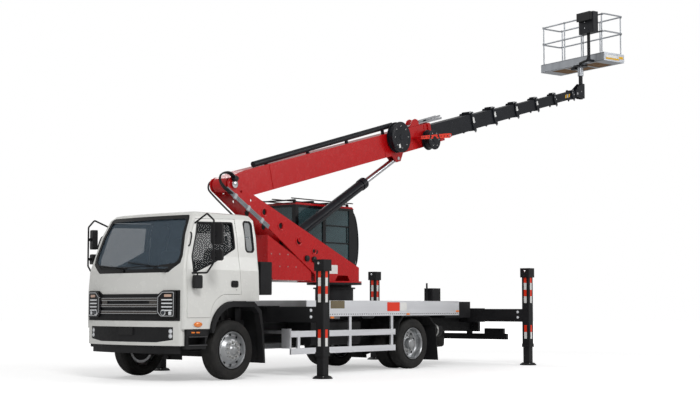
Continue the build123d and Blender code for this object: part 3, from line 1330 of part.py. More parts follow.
with BuildPart() as operator_door:
    with BuildSketch(side_plane(OP_OUT_Y)):
        with Locations(((OP_DOOR[0] + OP_DOOR[1]) / 2, (OP_DOOR[2] + OP_DOOR[3]) / 2)):
            Rectangle(OP_DOOR[1] - OP_DOOR[0], OP_DOOR[3] - OP_DOOR[2])
            Rectangle(OP_DOOR[1] - OP_DOOR[0] - 110, OP_DOOR[3] - OP_DOOR[2] - 110, mode=Mode.SUBTRACT)
    extrude(amount=OP_WALL)
    with BuildSketch(side_plane(OP_OUT_Y - OP_WALL / 2 + OP_GLASS / 2)):
        with Locations(((OP_DOOR[0] + OP_DOOR[1]) / 2, (OP_DOOR[2] + OP_DOOR[3]) / 2)):
            Rectangle(OP_DOOR[1] - OP_DOOR[0] - 108, OP_DOOR[3] - OP_DOOR[2] - 108)
    extrude(amount=OP_GLASS)
    for z in OP_HINGES:
        place = (OP_DOOR[0], OP_OUT_Y, z)
        add(hinge_stack(*place, HINGE_R + HINGE_ROOM, -LUG_H - HINGE_ROOM, 0), mode=Mode.SUBTRACT)
        add(hinge_stack(*place, HINGE_R + HINGE_ROOM, KNUCKLE_H, KNUCKLE_H + LUG_H + HINGE_ROOM),
            mode=Mode.SUBTRACT)
        add(hinge_knuckle(*place))
        add(hinge_stack(*place, HINGE_PIN_R + RUNNING, -LUG_H, KNUCKLE_H + LUG_H), mode=Mode.SUBTRACT)
keep("operator_door", operator_door.part)

# Lift cylinder between the tower's foot pin and the boom
eye_x, eye_z = along_boom(ROD_EYE_ALONG, -ROD_EYE_DROP)
lift_dx = eye_x - FOOT_PIN_X
lift_dz = eye_z - FOOT_PIN_Z
LIFT_LONG = hypot(lift_dx, lift_dz)
LIFT_U = (lift_dx / LIFT_LONG, lift_dz / LIFT_LONG)


def lift_plane(distance):
    """A plane square to the lift cylinder, distance from its foot pin."""
    origin = (at(FOOT_PIN_X + LIFT_U[0] * distance), 0, FOOT_PIN_Z + LIFT_U[1] * distance)
    return Plane(origin=origin, x_dir=(0, 1, 0), z_dir=(LIFT_U[0], 0, LIFT_U[1]))


BORE_BOTTOM = 80.0          # from the foot pin to the bottom of the barrel's bore
ROD_BOTTOM = 500.0          # from the foot pin to the rod's inner end, as it stands
with BuildPart() as barrel:
    with BuildSketch(side_plane(FOOT_HALF_W)):
        with Locations((FOOT_PIN_X, FOOT_PIN_Z)):
            Circle(FOOT_EYE_R)
    extrude(amount=2 * FOOT_HALF_W)
    with BuildSketch(lift_plane(30)):
        Circle(BARREL_R)
    extrude(amount=BARREL_LONG - 30)
    with BuildSketch(lift_plane(BARREL_LONG - 110)):
        Circle(BARREL_R + BARREL_COLLAR)
    extrude(amount=110)
    with BuildSketch(lift_plane(BORE_BOTTOM)):
        Circle(LIFT_ROD_R + 14)
    extrude(amount=BARREL_LONG - BORE_BOTTOM - 90, mode=Mode.SUBTRACT)
    with BuildSketch(lift_plane(BARREL_LONG - 100)):
        Circle(LIFT_ROD_R + RUNNING)
    extrude(amount=110, mode=Mode.SUBTRACT)
keep("lift_barrel", barrel.part)

with BuildPart() as lift_rod:
    with BuildSketch(lift_plane(ROD_BOTTOM)):
        Circle(LIFT_ROD_R)
    extrude(amount=LIFT_LONG - ROD_EYE_R / 2 - ROD_BOTTOM)
    with BuildSketch(side_plane(EYE_HALF_W)):
        with Locations((eye_x, eye_z)):
            Circle(ROD_EYE_R)
    extrude(amount=2 * EYE_HALF_W)
    with BuildSketch(side_plane(EYE_HALF_W + 1)):
        with Locations((eye_x, eye_z)):
            Circle(LIFT_PIN_R + RUNNING)
    extrude(amount=2 * EYE_HALF_W + 2, mode=Mode.SUBTRACT)
keep("lift_rod", lift_rod.part)

# Boom base: a hollow box with a curved heel on the pivot and lugs for the rod
with BuildPart() as boom_base:
    with BuildSketch(boom_side(BASE_W / 2)):
        with BuildLine():
            Polyline((BASE_START, AXIS_DROP + 110), (350, BASE_H / 2), (BASE_START + BASE_LONG, BASE_H / 2),
                     (BASE_START + BASE_LONG, -BASE_H / 2), (480, -BASE_H / 2), (-90, AXIS_DROP - 90), close=True)
        make_face()
        with Locations((0, AXIS_DROP)):
            Circle(PIVOT_ROUND - 8)
    extrude(amount=BASE_W)
    inner_h = BASE_H - 2 * BASE_WALL
    inner_w = BASE_W - 2 * BASE_WALL
    with BuildSketch(boom_cross(560)):
        Rectangle(inner_w, inner_h)
    extrude(amount=BASE_START + BASE_LONG - 560 - COLLAR_LONG, mode=Mode.SUBTRACT)
    with BuildSketch(boom_cross(BASE_START + BASE_LONG - COLLAR_LONG - 10)):
        Rectangle(SECTION_W[0] + 2 * SLIDE_FIT, SECTION_H[0] + 2 * SLIDE_FIT)
    extrude(amount=COLLAR_LONG + 20, mode=Mode.SUBTRACT)
    with BuildSketch(boom_side(EYE_HALF_W + 30)):
        with BuildLine():
            Polyline((ROD_EYE_ALONG - 190, -BASE_H / 2 + 5), (ROD_EYE_ALONG - 60, -ROD_EYE_DROP - 60),
                     (ROD_EYE_ALONG + 60, -ROD_EYE_DROP - 60), (ROD_EYE_ALONG + 190, -BASE_H / 2 + 5), close=True)
        make_face()
    extrude(amount=2 * (EYE_HALF_W + 30))
    with BuildSketch(boom_side(EYE_HALF_W + 10)):
        with Locations((ROD_EYE_ALONG, -BASE_H / 2 - 100)):
            Rectangle(400, 200)
    extrude(amount=2 * (EYE_HALF_W + 10), mode=Mode.SUBTRACT)
    with BuildSketch(boom_side(BASE_W / 2 + 1)):
        with Locations((0, AXIS_DROP)):
            Circle(PIVOT_R + RUNNING)
    extrude(amount=BASE_W + 2, mode=Mode.SUBTRACT)
    with BuildSketch(side_plane(EYE_HALF_W + 30)):
        with Locations((eye_x, eye_z)):
            Circle(LIFT_PIN_R)
    extrude(amount=2 * (EYE_HALF_W + 30))
    with BuildSketch(boom_cross(560)):
        Rectangle(inner_w, inner_h)
    extrude(amount=BASE_LONG - 560 - 300, mode=Mode.SUBTRACT)
keep("boom_base", boom_base.part)

# Telescopic sections, each a tube with a collar at its end
for index, end in enumerate(SECTION_END):
    height = SECTION_H[index]
    width = SECTION_W[index]
    start = SECTION_REAR + SECTION_REAR_GAP * index + sum(SECTION_IN[:index + 1])
    last = index == len(SECTION_END) - 1
    with BuildPart() as section:
        with BuildSketch(boom_cross(start)):
            Rectangle(width, height)
            Rectangle(width - 2 * SECTION_WALL, height - 2 * SECTION_WALL, mode=Mode.SUBTRACT)
        extrude(amount=end - start)
        bore_w = width - 2 * SECTION_WALL if last else SECTION_W[index + 1] + 2 * SLIDE_FIT
        bore_h = height - 2 * SECTION_WALL if last else SECTION_H[index + 1] + 2 * SLIDE_FIT
        with BuildSketch(boom_cross(end - COLLAR_LONG)):
            Rectangle(width + 2 * COLLAR_GROW, height + 2 * COLLAR_GROW)
            Rectangle(bore_w, bore_h, mode=Mode.SUBTRACT)
        extrude(amount=COLLAR_LONG)
        if last:
            with BuildSketch(boom_side(width / 2)):
                with BuildLine():
                    Polyline((end - 10, height / 2), (TIP_ALONG, 45), (TIP_ALONG, -45), (end - 10, -height / 2),
                             close=True)
                make_face()
                with Locations((TIP_ALONG, 0)):
                    Circle(45)
            extrude(amount=width)
            with BuildSketch(boom_side(width / 2 + 1)):
                with Locations((TIP_ALONG, 0)):
                    Circle(HEAD_PIN_R + RUNNING, mode=Mode.ADD)
            extrude(amount=width + 2, mode=Mode.SUBTRACT)
    keep(f"boom_section_{index + 1}", section.part)

# Hose tube, reels, stay bar and bracket on the boom base
PIPE_R = 48.0
PIPE_Y = -BASE_W / 2 + 60
PIPE_FRONT = (630.0, BASE_H / 2 + PIPE_R + 2)        # along and lift of each end
PIPE_REAR = (ROD_EYE_ALONG - 65, BASE_H / 2 + 123)
REELS = [                                     # along, lift, radius, thickness
    (4410.0, 100.0, 280.0, 120.0),
    (5370.0, -100.0, 190.0, 160.0),
]
REEL_HUB_T = 30.0
BAR_END = 5960.0
with BuildPart() as boom_gear:
    slope = (PIPE_REAR[1] - PIPE_FRONT[1]) / (PIPE_REAR[0] - PIPE_FRONT[0])
    with BuildSketch(boom_side(PIPE_Y + PIPE_R / 2)):
        for share in (0.08, 0.36, 0.64, 0.92):
            place = PIPE_FRONT[0] + share * (PIPE_REAR[0] - PIPE_FRONT[0])
            top = PIPE_FRONT[1] + slope * (place - PIPE_FRONT[0])
            with Locations((place, (BASE_H / 2 + SEAT + top) / 2)):
                Rectangle(40, top - BASE_H / 2 - SEAT)
    extrude(amount=PIPE_R)
    front_x, front_z = along_boom(*PIPE_FRONT)
    rear_x, rear_z = along_boom(*PIPE_REAR)
    run = hypot(rear_x - front_x, rear_z - front_z)
    with BuildSketch(Plane(origin=(at(front_x), PIPE_Y, front_z), x_dir=(0, 1, 0),
                           z_dir=((rear_x - front_x) / run, 0, (rear_z - front_z) / run))):
        Circle(PIPE_R)
    extrude(amount=run)
    for distance, lift, r, thick in REELS:
        with BuildSketch(boom_side(-BASE_W / 2 - SEAT)):
            with Locations((distance, lift)):
                Circle(60)
        extrude(amount=REEL_HUB_T + 2)
        with BuildSketch(boom_side(-BASE_W / 2 - SEAT - REEL_HUB_T)):
            with Locations((distance, lift)):
                Circle(r)
        extrude(amount=thick)
        with BuildSketch(boom_side(-BASE_W / 2 - SEAT - REEL_HUB_T - 14)):
            with Locations((distance, lift)):
                Circle(r + 1)
                Circle(r - 22, mode=Mode.SUBTRACT)
        extrude(amount=thick - 28, mode=Mode.SUBTRACT)
    with BuildSketch(boom_side(-BASE_W / 2 - SEAT)):
        with Locations(((REELS[1][0] + BAR_END) / 2, REELS[1][1])):
            Rectangle(BAR_END - REELS[1][0], 44)
        for hole in range(8):
            with Locations((BAR_END - 30 - 48 * hole, REELS[1][1])):
                Circle(10, mode=Mode.SUBTRACT)
    extrude(amount=10)
    with BuildSketch(boom_side(PIPE_Y + 20)):
        with Locations((BASE_START + BASE_LONG - 60, BASE_H / 2 + SEAT + 35)):
            Rectangle(60, 70)
    extrude(amount=40)
keep("boom_gear", Compound(children=boom_gear.solids()))

# Levelling head: a fork on the tip pin and a swivel post under the basket
FORK_IN = SECTION_W[-1] / 2 + SEAT * 4
POST_R = 45.0
FORK_PLATE_T = 14.0
with BuildPart() as boom_head:
    for side in (-1, 1):
        with BuildSketch(side_plane(side * (FORK_IN + FORK_PLATE_T))):
            with BuildLine():
                Polyline((TIP_X - 60, TIP_Z - 60), (TIP_X - 60, TIP_Z + 70), (MAST_X - 60, TIP_Z + 260),
                         (MAST_X + 60, TIP_Z + 260), (MAST_X + 60, TIP_Z - 70), (MAST_X - 40, TIP_Z - 90), close=True)
            make_face()
        extrude(amount=side * FORK_PLATE_T)
    with BuildSketch(side_plane(FORK_IN + FORK_PLATE_T)):
        with Locations((TIP_X, TIP_Z)):
            Circle(HEAD_PIN_R)
    extrude(amount=2 * (FORK_IN + FORK_PLATE_T))
    with BuildSketch(floor_plane(TIP_Z - 60)):
        with Locations((MAST_X, 0)):
            Rectangle(80, 2 * FORK_IN + FORK_PLATE_T)
    extrude(amount=300)
    with BuildSketch(floor_plane(TIP_Z - 90)):
        with Locations((MAST_X, 0)):
            Circle(POST_R)
    extrude(amount=POST_UP + 90)
keep("boom_head", boom_head.part)


def basket_plane(z):
    """A level plane turned with the basket about its swivel post."""
    x_dir = turned(1, 0, BASKET_TURN)
    return Plane(origin=(at(MAST_X), 0, z), x_dir=(x_dir[0], x_dir[1], 0), z_dir=(0, 0, 1))


SOCKET_LOW = TIP_Z + POST_UP + SEAT
FRAME_H = 60.0
SOCKET_PLATE_R = 130.0
NEAR = BASKET_NEAR
FAR = BASKET_NEAR + BASKET_DEEP
HALF = BASKET_LONG / 2
TUBE_IN = RAIL_TUBE_R + TOE_T
with BuildPart() as basket:
    with BuildSketch(basket_plane(SOCKET_LOW)):
        Circle(POST_R + 20)
    extrude(amount=BASKET_FLOOR - SOCKET_LOW)
    with BuildSketch(basket_plane(BASKET_FLOOR - FRAME_H - 20)):
        Circle(SOCKET_PLATE_R)
    extrude(amount=24)
    with BuildSketch(basket_plane(BASKET_FLOOR - FRAME_H)):
        with Locations((FAR / 2, 0)):
            Rectangle(FAR, 90)
        with Locations((BASKET_MID, BASKET_SHIFT)):
            Rectangle(BASKET_DEEP - TOE_T, BASKET_LONG - TOE_T)
            with Locations((0, -500), (0, 0), (0, 500)):
                Rectangle(BASKET_DEEP - 120, 420, mode=Mode.SUBTRACT)
    extrude(amount=FRAME_H)
    with BuildSketch(basket_plane(BASKET_FLOOR)):
        with Locations((BASKET_MID, BASKET_SHIFT)):
            Rectangle(BASKET_DEEP, BASKET_LONG)
    extrude(amount=6)
    with BuildSketch(basket_plane(BASKET_FLOOR - FRAME_H)):
        with Locations((BASKET_MID, BASKET_SHIFT)):
            Rectangle(BASKET_DEEP, BASKET_LONG)
            Rectangle(BASKET_DEEP - 2 * TOE_T, BASKET_LONG - 2 * TOE_T, mode=Mode.SUBTRACT)
    extrude(amount=TOE_H + FRAME_H)
    # Uprights: across the basket and along it
    spread = HALF - TUBE_IN - RAIL_BEND
    posts = [(x, BASKET_SHIFT + k * spread) for x in (NEAR + TUBE_IN, FAR - TUBE_IN) for k in (-1, -0.32, 0.26, 1)]
    with BuildSketch(basket_plane(BASKET_FLOOR)):
        for place in posts:
            with Locations(place):
                Circle(RAIL_TUBE_R - 2)
    extrude(amount=BASKET_H - RAIL_TUBE_R)
    for z in (BASKET_H - RAIL_TUBE_R, 0.6 * BASKET_H):
        level = basket_plane(BASKET_FLOOR + z)
        low = BASKET_SHIFT - HALF + TUBE_IN
        high = BASKET_SHIFT + HALF - TUBE_IN
        ring = [(FAR - TUBE_IN, low), (FAR - TUBE_IN, high), (NEAR + TUBE_IN, high), (NEAR + TUBE_IN, low)]
        with BuildLine():
            rail = FilletPolyline(*[level.from_local_coords((x, y, 0)) for x, y in ring], radius=RAIL_BEND,
                                  close=True)
        with BuildSketch(Plane(origin=rail @ 0, z_dir=rail % 0)):
            Circle(RAIL_TUBE_R)
        sweep(path=rail)
keep("basket", basket.part)

# Control box on a bent stand before the near side
PANEL_Y = BASKET_SHIFT - HALF + 340
PANEL_X = NEAR - 130
STAND_T = 50.0
with BuildPart() as control_box:
    with BuildSketch(basket_plane(BASKET_FLOOR + 580)):
        with Locations((PANEL_X, PANEL_Y)):
            RectangleRounded(170, 460, 25)
    extrude(amount=470)
    with BuildSketch(basket_plane(BASKET_FLOOR - 55)):
        with Locations(((PANEL_X - STAND_T / 2 + NEAR - SEAT) / 2, PANEL_Y)):
            Rectangle(NEAR - SEAT - PANEL_X + STAND_T / 2, STAND_T)
    extrude(amount=STAND_T)
    with BuildSketch(basket_plane(BASKET_FLOOR - 55)):
        with Locations((PANEL_X, PANEL_Y)):
            Rectangle(STAND_T, STAND_T)
    extrude(amount=640)
keep("control_box", control_box.part)

print("overall reach", round(REACH), "front axle x", round(FRONT_AXLE_X, 1))
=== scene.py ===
import bpy
import bmesh
import json
import numpy as np
from math import cos, pi, radians, sin
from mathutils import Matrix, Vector


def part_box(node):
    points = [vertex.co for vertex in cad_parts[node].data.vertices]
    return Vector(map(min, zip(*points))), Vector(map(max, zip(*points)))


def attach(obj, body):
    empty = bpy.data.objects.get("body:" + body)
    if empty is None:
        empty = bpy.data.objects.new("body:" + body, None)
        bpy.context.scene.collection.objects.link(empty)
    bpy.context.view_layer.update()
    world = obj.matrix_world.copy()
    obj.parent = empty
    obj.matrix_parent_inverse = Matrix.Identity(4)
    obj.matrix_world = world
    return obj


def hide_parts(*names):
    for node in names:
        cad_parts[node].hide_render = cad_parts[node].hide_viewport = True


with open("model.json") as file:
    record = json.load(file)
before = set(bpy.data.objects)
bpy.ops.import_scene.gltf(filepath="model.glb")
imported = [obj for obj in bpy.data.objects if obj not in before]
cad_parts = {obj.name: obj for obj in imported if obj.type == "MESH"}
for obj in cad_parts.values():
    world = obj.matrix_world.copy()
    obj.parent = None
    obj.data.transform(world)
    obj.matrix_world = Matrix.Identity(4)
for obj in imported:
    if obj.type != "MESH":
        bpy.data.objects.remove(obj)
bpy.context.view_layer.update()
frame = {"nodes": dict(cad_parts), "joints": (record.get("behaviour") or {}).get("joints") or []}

# Places read from the frame, in metres. The truck faces -X and its left is -Y.
joint = {j["name"]: j for j in frame["joints"]}


def box(node):
    """Lowest and highest corner of a CAD node as arrays."""
    low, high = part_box(node)
    return np.array(low), np.array(high)


def middle(node):
    """Middle of a CAD node's box."""
    low, high = box(node)
    return (low + high) / 2


AXLE = middle("front_wheel_left")[0]
REAR_AXLE = middle("rear_wheels_left")[0]
TYRE_R = (box("front_wheel_left")[1][2] - box("front_wheel_left")[0][2]) / 2
TYRE_W = box("front_wheel_left")[1][1] - box("front_wheel_left")[0][1]
BOOM_DIR = np.array(joint["section_1_slide"]["axis"], float)
BOOM_DIR /= np.linalg.norm(BOOM_DIR)
BOOM_UP = np.array([-BOOM_DIR[2], 0.0, BOOM_DIR[0]])
PIVOT = np.array(joint["luff"]["pos_m"], float)
AXIS_DROP = 0.05
SIDES = (("left", -1), ("right", 1))
X, Y, Z = np.eye(3).tolist()
NEAR = [0, -1, 0]
AHEAD = [-1, 0, 0]
RED = (0.50, 0.004, 0.006)
WHITE = (0.76, 0.76, 0.73)
BLACK = (0.009, 0.009, 0.010)


def along(distance, lift=0.0, y=0.0):
    """A place measured along the boom from its pivot, lifted from its axis."""
    return PIVOT + BOOM_DIR * distance + BOOM_UP * (lift - AXIS_DROP) + np.array([0, y, 0])


# Materials. Each is procedural and reads Object coordinates.
class Finish:
    """A Principled material that noise makes uneven in colour, gloss and height."""

    def __init__(self, name, colour, rough, metal=0.0, coat=0.0, spec=0.5):
        self.mat = bpy.data.materials.new(name)
        self.mat.use_nodes = True
        self.nodes = self.mat.node_tree.nodes
        self.links = self.mat.node_tree.links
        self.shader = self.nodes["Principled BSDF"]
        self.shader.inputs["Base Color"].default_value = (*colour, 1)
        self.shader.inputs["Roughness"].default_value = rough
        self.shader.inputs["Metallic"].default_value = metal
        self.shader.inputs["Coat Weight"].default_value = coat
        self.shader.inputs["Coat Roughness"].default_value = 0.06
        self.shader.inputs["Specular IOR Level"].default_value = spec
        self.coords = self.nodes.new("ShaderNodeTexCoord")
        self.colour = colour
        self.rough = rough

    def noise(self, scale, detail=4.0, stretch=(1, 1, 1)):
        """A noise value on Object coordinates, stretched along an axis."""
        mapping = self.nodes.new("ShaderNodeMapping")
        mapping.inputs["Scale"].default_value = stretch
        self.links.new(self.coords.outputs["Object"], mapping.inputs["Vector"])
        tex = self.nodes.new("ShaderNodeTexNoise")
        tex.inputs["Scale"].default_value = scale
        tex.inputs["Detail"].default_value = detail
        self.links.new(mapping.outputs["Vector"], tex.inputs["Vector"])
        return tex.outputs["Fac"]

    def span(self, value, low, high):
        """Value 0 to 1 turned into low to high."""
        node = self.nodes.new("ShaderNodeMapRange")
        node.inputs["From Min"].default_value = 0.3
        node.inputs["From Max"].default_value = 0.7
        node.inputs["To Min"].default_value = low
        node.inputs["To Max"].default_value = high
        self.links.new(value, node.inputs["Value"])
        return node.outputs["Result"]

    def uneven_gloss(self, value, spread):
        """Roughness that goes up and down by spread."""
        self.links.new(self.span(value, self.rough - spread, self.rough + spread),
            self.shader.inputs["Roughness"])
        return self

    def tint(self, value, other, low=0.0, high=1.0):
        """Mix the base colour with another one by value."""
        mix = self.nodes.new("ShaderNodeMix")
        mix.data_type = "RGBA"
        self.links.new(self.span(value, low, high), mix.inputs["Factor"])
        before = self.shader.inputs["Base Color"]
        if before.is_linked:
            self.links.new(before.links[0].from_socket, mix.inputs["A"])
        else:
            mix.inputs["A"].default_value = (*self.colour, 1)
        mix.inputs["B"].default_value = (*other, 1)
        self.links.new(mix.outputs["Result"], self.shader.inputs["Base Color"])
        return self

    def bump(self, value, height, strength=0.5):
        """Height in metres from a value."""
        node = self.nodes.new("ShaderNodeBump")
        node.inputs["Distance"].default_value = height
        node.inputs["Strength"].default_value = strength
        self.links.new(value, node.inputs["Height"])
        self.links.new(node.outputs["Normal"], self.shader.inputs["Normal"])
        return self


def paint(name, colour, rough=0.28):
    """Sprayed paint: faint orange peel, a little dust and a clear coat."""
    f = Finish(name, colour, rough, coat=0.15, spec=0.3)
    dust = tuple(0.88 * c + 0.004 for c in colour)
    f.tint(f.noise(1.3, 3), dust, 0.0, 0.5)
    f.uneven_gloss(f.noise(9, 3), 0.05)
    f.bump(f.noise(180, 2), 0.0004, 0.12)
    return f.mat


def satin(name, colour, rough=0.45):
    """Satin chassis paint, dustier than the cab's."""
    f = Finish(name, colour, rough, spec=0.2)
    f.tint(f.noise(3.1, 5), tuple(c * 1.5 + 0.003 for c in colour), 0.0, 0.8)
    f.uneven_gloss(f.noise(14, 4), 0.09)
    f.bump(f.noise(90, 3), 0.0008, 0.2)
    return f.mat


def moulded(name, colour=(0.012, 0.012, 0.013), rough=0.55):
    """Black moulded plastic with a fine grain."""
    f = Finish(name, colour, rough, spec=0.22)
    f.uneven_gloss(f.noise(24, 3), 0.07)
    f.tint(f.noise(2.4, 5), tuple(c * 1.4 + 0.003 for c in colour), 0.0, 0.6)
    f.bump(f.noise(520, 2), 0.0005, 0.35)
    return f.mat


def brushed(name, colour, rough=0.34, stretch=(1, 1, 1)):
    """Drawn metal: fine lines along one axis."""
    f = Finish(name, colour, rough, metal=1.0)
    f.uneven_gloss(f.noise(60, 4, stretch), 0.09)
    f.tint(f.noise(5, 5, stretch), tuple(c * 0.78 for c in colour), 0.0, 0.7)
    f.bump(f.noise(160, 2, stretch), 0.0004, 0.25)
    return f.mat


def pane(name, colour, alpha=0.45, rough=0.02, spec=0.8):
    """Tinted glass as a thin see-through gloss."""
    f = Finish(name, colour, rough, spec=spec)
    f.shader.inputs["Alpha"].default_value = alpha
    f.uneven_gloss(f.noise(3, 3), 0.012)
    return f.mat


def lens(name, colour, glow=0.0):
    """A lamp lens with fine flutes."""
    f = Finish(name, colour, 0.12, coat=1.0)
    wave = f.nodes.new("ShaderNodeTexWave")
    wave.inputs["Scale"].default_value = 60
    f.links.new(f.coords.outputs["Object"], wave.inputs["Vector"])
    f.bump(wave.outputs["Fac"], 0.0006, 0.4)
    f.uneven_gloss(f.noise(30, 2), 0.04)
    if glow:
        f.shader.inputs["Emission Color"].default_value = (*colour, 1)
        f.shader.inputs["Emission Strength"].default_value = glow
    return f.mat


def rubber(name, colour=(0.013, 0.013, 0.013)):
    """Tyre rubber with a bloom of dust."""
    f = Finish(name, colour, 0.72, spec=0.25)
    f.tint(f.noise(6, 6), (0.030, 0.028, 0.026), 0.0, 0.75)
    f.uneven_gloss(f.noise(22, 3), 0.08)
    f.bump(f.noise(240, 3), 0.0007, 0.3)
    return f.mat


def cloth(name, colour):
    """Woven seat cloth."""
    f = Finish(name, colour, 0.85)
    f.shader.inputs["Sheen Weight"].default_value = 0.4
    f.tint(f.noise(60, 3), tuple(c * 1.9 for c in colour), 0.0, 0.7)
    f.uneven_gloss(f.noise(12, 3), 0.05)
    f.bump(f.noise(700, 2, (1, 1, 0.4)), 0.001, 0.5)
    return f.mat


cab_paint = paint("cab_paint", WHITE, 0.25)
tower_paint = paint("tower_paint", RED, 0.26)
chassis_paint = satin("chassis_paint", BLACK, 0.5)
boom_paint = satin("boom_paint", (0.008, 0.009, 0.012), 0.36)
leg_paint = satin("leg_paint", (0.010, 0.010, 0.011), 0.48)
trim = moulded("trim")
bed_metal = brushed("bed_metal", (0.86, 0.87, 0.90), 0.42, (0.03, 1, 1))
rail_metal = brushed("rail_metal", (0.42, 0.44, 0.47), 0.38, (1, 1, 0.05))
rim_metal = brushed("rim_metal", (0.46, 0.47, 0.48), 0.38, (1, 1, 1))
bright = brushed("bright", (0.78, 0.79, 0.81), 0.12, (1, 1, 1))
rod_metal = brushed("rod_metal", (0.70, 0.71, 0.74), 0.14, (0.1, 1, 0.1))
cast_metal = satin("cast_metal", (0.025, 0.025, 0.026), 0.7)
windscreen = pane("windscreen", (0.10, 0.14, 0.18), 0.40, spec=0.3)
side_window = pane("side_window", (0.008, 0.011, 0.013), 0.45, spec=0.12)
tinted_window = pane("tinted_window", (0.045, 0.085, 0.095), 0.82)
quarter_glass = paint("quarter_glass", (0.040, 0.052, 0.056), 0.10)
tyre_rubber = rubber("tyre_rubber")
seat_cloth = cloth("seat_cloth", (0.022, 0.023, 0.026))
lamp_clear = lens("lamp_clear", (0.80, 0.82, 0.85))
lamp_amber = lens("lamp_amber", (0.80, 0.20, 0.01), 0.05)
lamp_red = lens("lamp_red", (0.6, 0.02, 0.02), 0.1)

gloss_black = paint("gloss_black", (0.006, 0.006, 0.007), 0.18)
dark_chrome = brushed("dark_chrome", (0.16, 0.15, 0.14), 0.2)

# Which material each CAD node shows
DRESS = {cab_paint: ["cab_shell", "door_left", "door_right", "bumper"], windscreen: ["cab_glass"],
    side_window: ["door_glass_left", "door_glass_right"], tinted_window: ["operator_glass"],
    seat_cloth: ["cab_interior", "operator_seat"],
    trim: ["grille", "mudguards", "mirror_left", "mirror_right", "bumper_trim"],
    gloss_black: ["operator_cabin", "operator_door", "headlamps"], dark_chrome: ["grille_bars"],
    chassis_paint: ["frame", "chassis_boxes", "pedestal", "deck_boxes", "rear_gear"],
    cast_metal: ["engine", "front_axle", "rear_axle", "knuckle_left", "knuckle_right"],
    bed_metal: ["bed", "side_guards"],
    tyre_rubber: ["spare_wheel", "front_wheel_left", "front_wheel_right", "rear_wheels_left",
        "rear_wheels_right"], tower_paint: ["tower", "tower_box", "boom_base"],
    boom_paint: ["lift_barrel", "boom_gear", "boom_head", "control_box"] + [f"boom_section_{i}"
        for i in range(1, 7)], rod_metal: ["lift_rod"], rail_metal: ["basket"],
    leg_paint: [n for n in frame["nodes"] if n.startswith("outrigger")],
}
for material, names in DRESS.items():
    for name in names:
        mesh = frame["nodes"][name].data
        mesh.materials.clear()
        mesh.materials.append(material)

# Surfaces. Each is a grid of points worked out by whole arrays, with closed seams and ends.
def skin(rows, loop=False):
    """Faces of a grid whose rows close on themselves; loop joins last row to first, else both ends are capped."""
    rows = np.asarray(rows, float)
    n, m = rows.shape[:2]
    i = np.arange(n if loop else n - 1)[:, None]
    j = np.arange(m)[None, :]
    after = (i + 1) % n
    quads = np.stack([i * m + j, i * m + (j + 1) % m, after * m + (j + 1) % m, after * m + j], -1).reshape(-1,
        4)
    faces = quads.tolist()
    if not loop:
        faces += [list(range(m))[::-1], list(range((n - 1) * m, n * m))]
    return rows.reshape(-1, 3), faces


def many(shape, offsets):
    """Copies of one shape, moved by each offset."""
    points, faces = shape
    offsets = np.asarray(offsets, float)
    allpoints = (points[None] + offsets[:, None]).reshape(-1, 3)
    allfaces = [[v + k * len(points) for v in f] for k in range(len(offsets)) for f in faces]
    return allpoints, allfaces


def joined(shapes):
    """Several shapes as one."""
    start = 0
    faces = []
    for points, fs in shapes:
        faces += [[v + start for v in f] for f in fs]
        start += len(points)
    return np.concatenate([p for p, f in shapes]), faces


def piece(name, shapes, material, body, sharp=35, replaces=None):
    """One object of the given shapes that rides on a body."""
    points, faces = joined(shapes if isinstance(shapes, list) else [shapes])
    mesh = bpy.data.meshes.new(name)
    mesh.from_pydata(points.tolist(), [], faces)
    work = bmesh.new()
    work.from_mesh(mesh)
    bmesh.ops.recalc_face_normals(work, faces=work.faces)
    work.to_mesh(mesh)
    work.free()
    mesh.polygons.foreach_set("use_smooth", np.ones(len(mesh.polygons), bool))
    mesh.set_sharp_from_angle(angle=radians(sharp))
    mesh.materials.append(material)
    obj = bpy.data.objects.new(name, mesh)
    bpy.context.collection.objects.link(obj)
    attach(obj, body)
    if replaces:
        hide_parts(*replaces)
    return obj


def unit(v):
    """The same direction, one long."""
    v = np.asarray(v, float)
    return v / np.linalg.norm(v, axis=-1, keepdims=True)


def eased(points, times=3, closed=False):
    """Corner cutting: each run gives the points at a quarter and three quarters of it."""
    points = np.asarray(points, float)
    for _ in range(times):
        after = np.roll(points, -1, 0) if closed else points[1:]
        before = points if closed else points[:-1]
        cut = np.stack([0.75 * before + 0.25 * after, 0.25 * before + 0.75 * after], 1).reshape(-1,
            points.shape[1])
        points = cut if closed else np.concatenate([points[:1], cut, points[-1:]])
    return points


def tube(path, radius, sides=10, ref=Z, loop=False):
    """path(t) + radius * (cos a * side(t) + sin a * up(t)), a from 0 to 2 pi round the bar."""
    path = np.asarray(path, float)
    if loop:
        tangent = unit(np.roll(path, -1, 0) - np.roll(path, 1, 0))
    else:
        tangent = unit(np.gradient(path, axis=0))
    side = unit(np.cross(tangent, np.asarray(ref, float)))
    up = np.cross(side, tangent)
    a = np.linspace(0, 2 * pi, sides, endpoint=False)[None, :, None]
    return skin(path[:, None] + radius * (np.cos(a) * side[:, None] + np.sin(a) * up[:, None]), loop)


def lathe(profile, centre, axis, sides=40, loop=False):
    """centre + h * axis + r * (cos a * u + sin a * v) for each (r, h) of the profile."""
    w = unit(axis)
    u = unit(np.cross(w, (0.3, 0.2, 1.0) if abs(w[2]) < 0.9 else Y))
    v = np.cross(w, u)
    profile = np.asarray(profile, float)
    a = np.linspace(0, 2 * pi, sides, endpoint=False)[None, :, None]
    r, h = profile[:, 0, None, None], profile[:, 1, None, None]
    return skin(np.asarray(centre) + h * w + r * (np.cos(a) * u + np.sin(a) * v), loop)


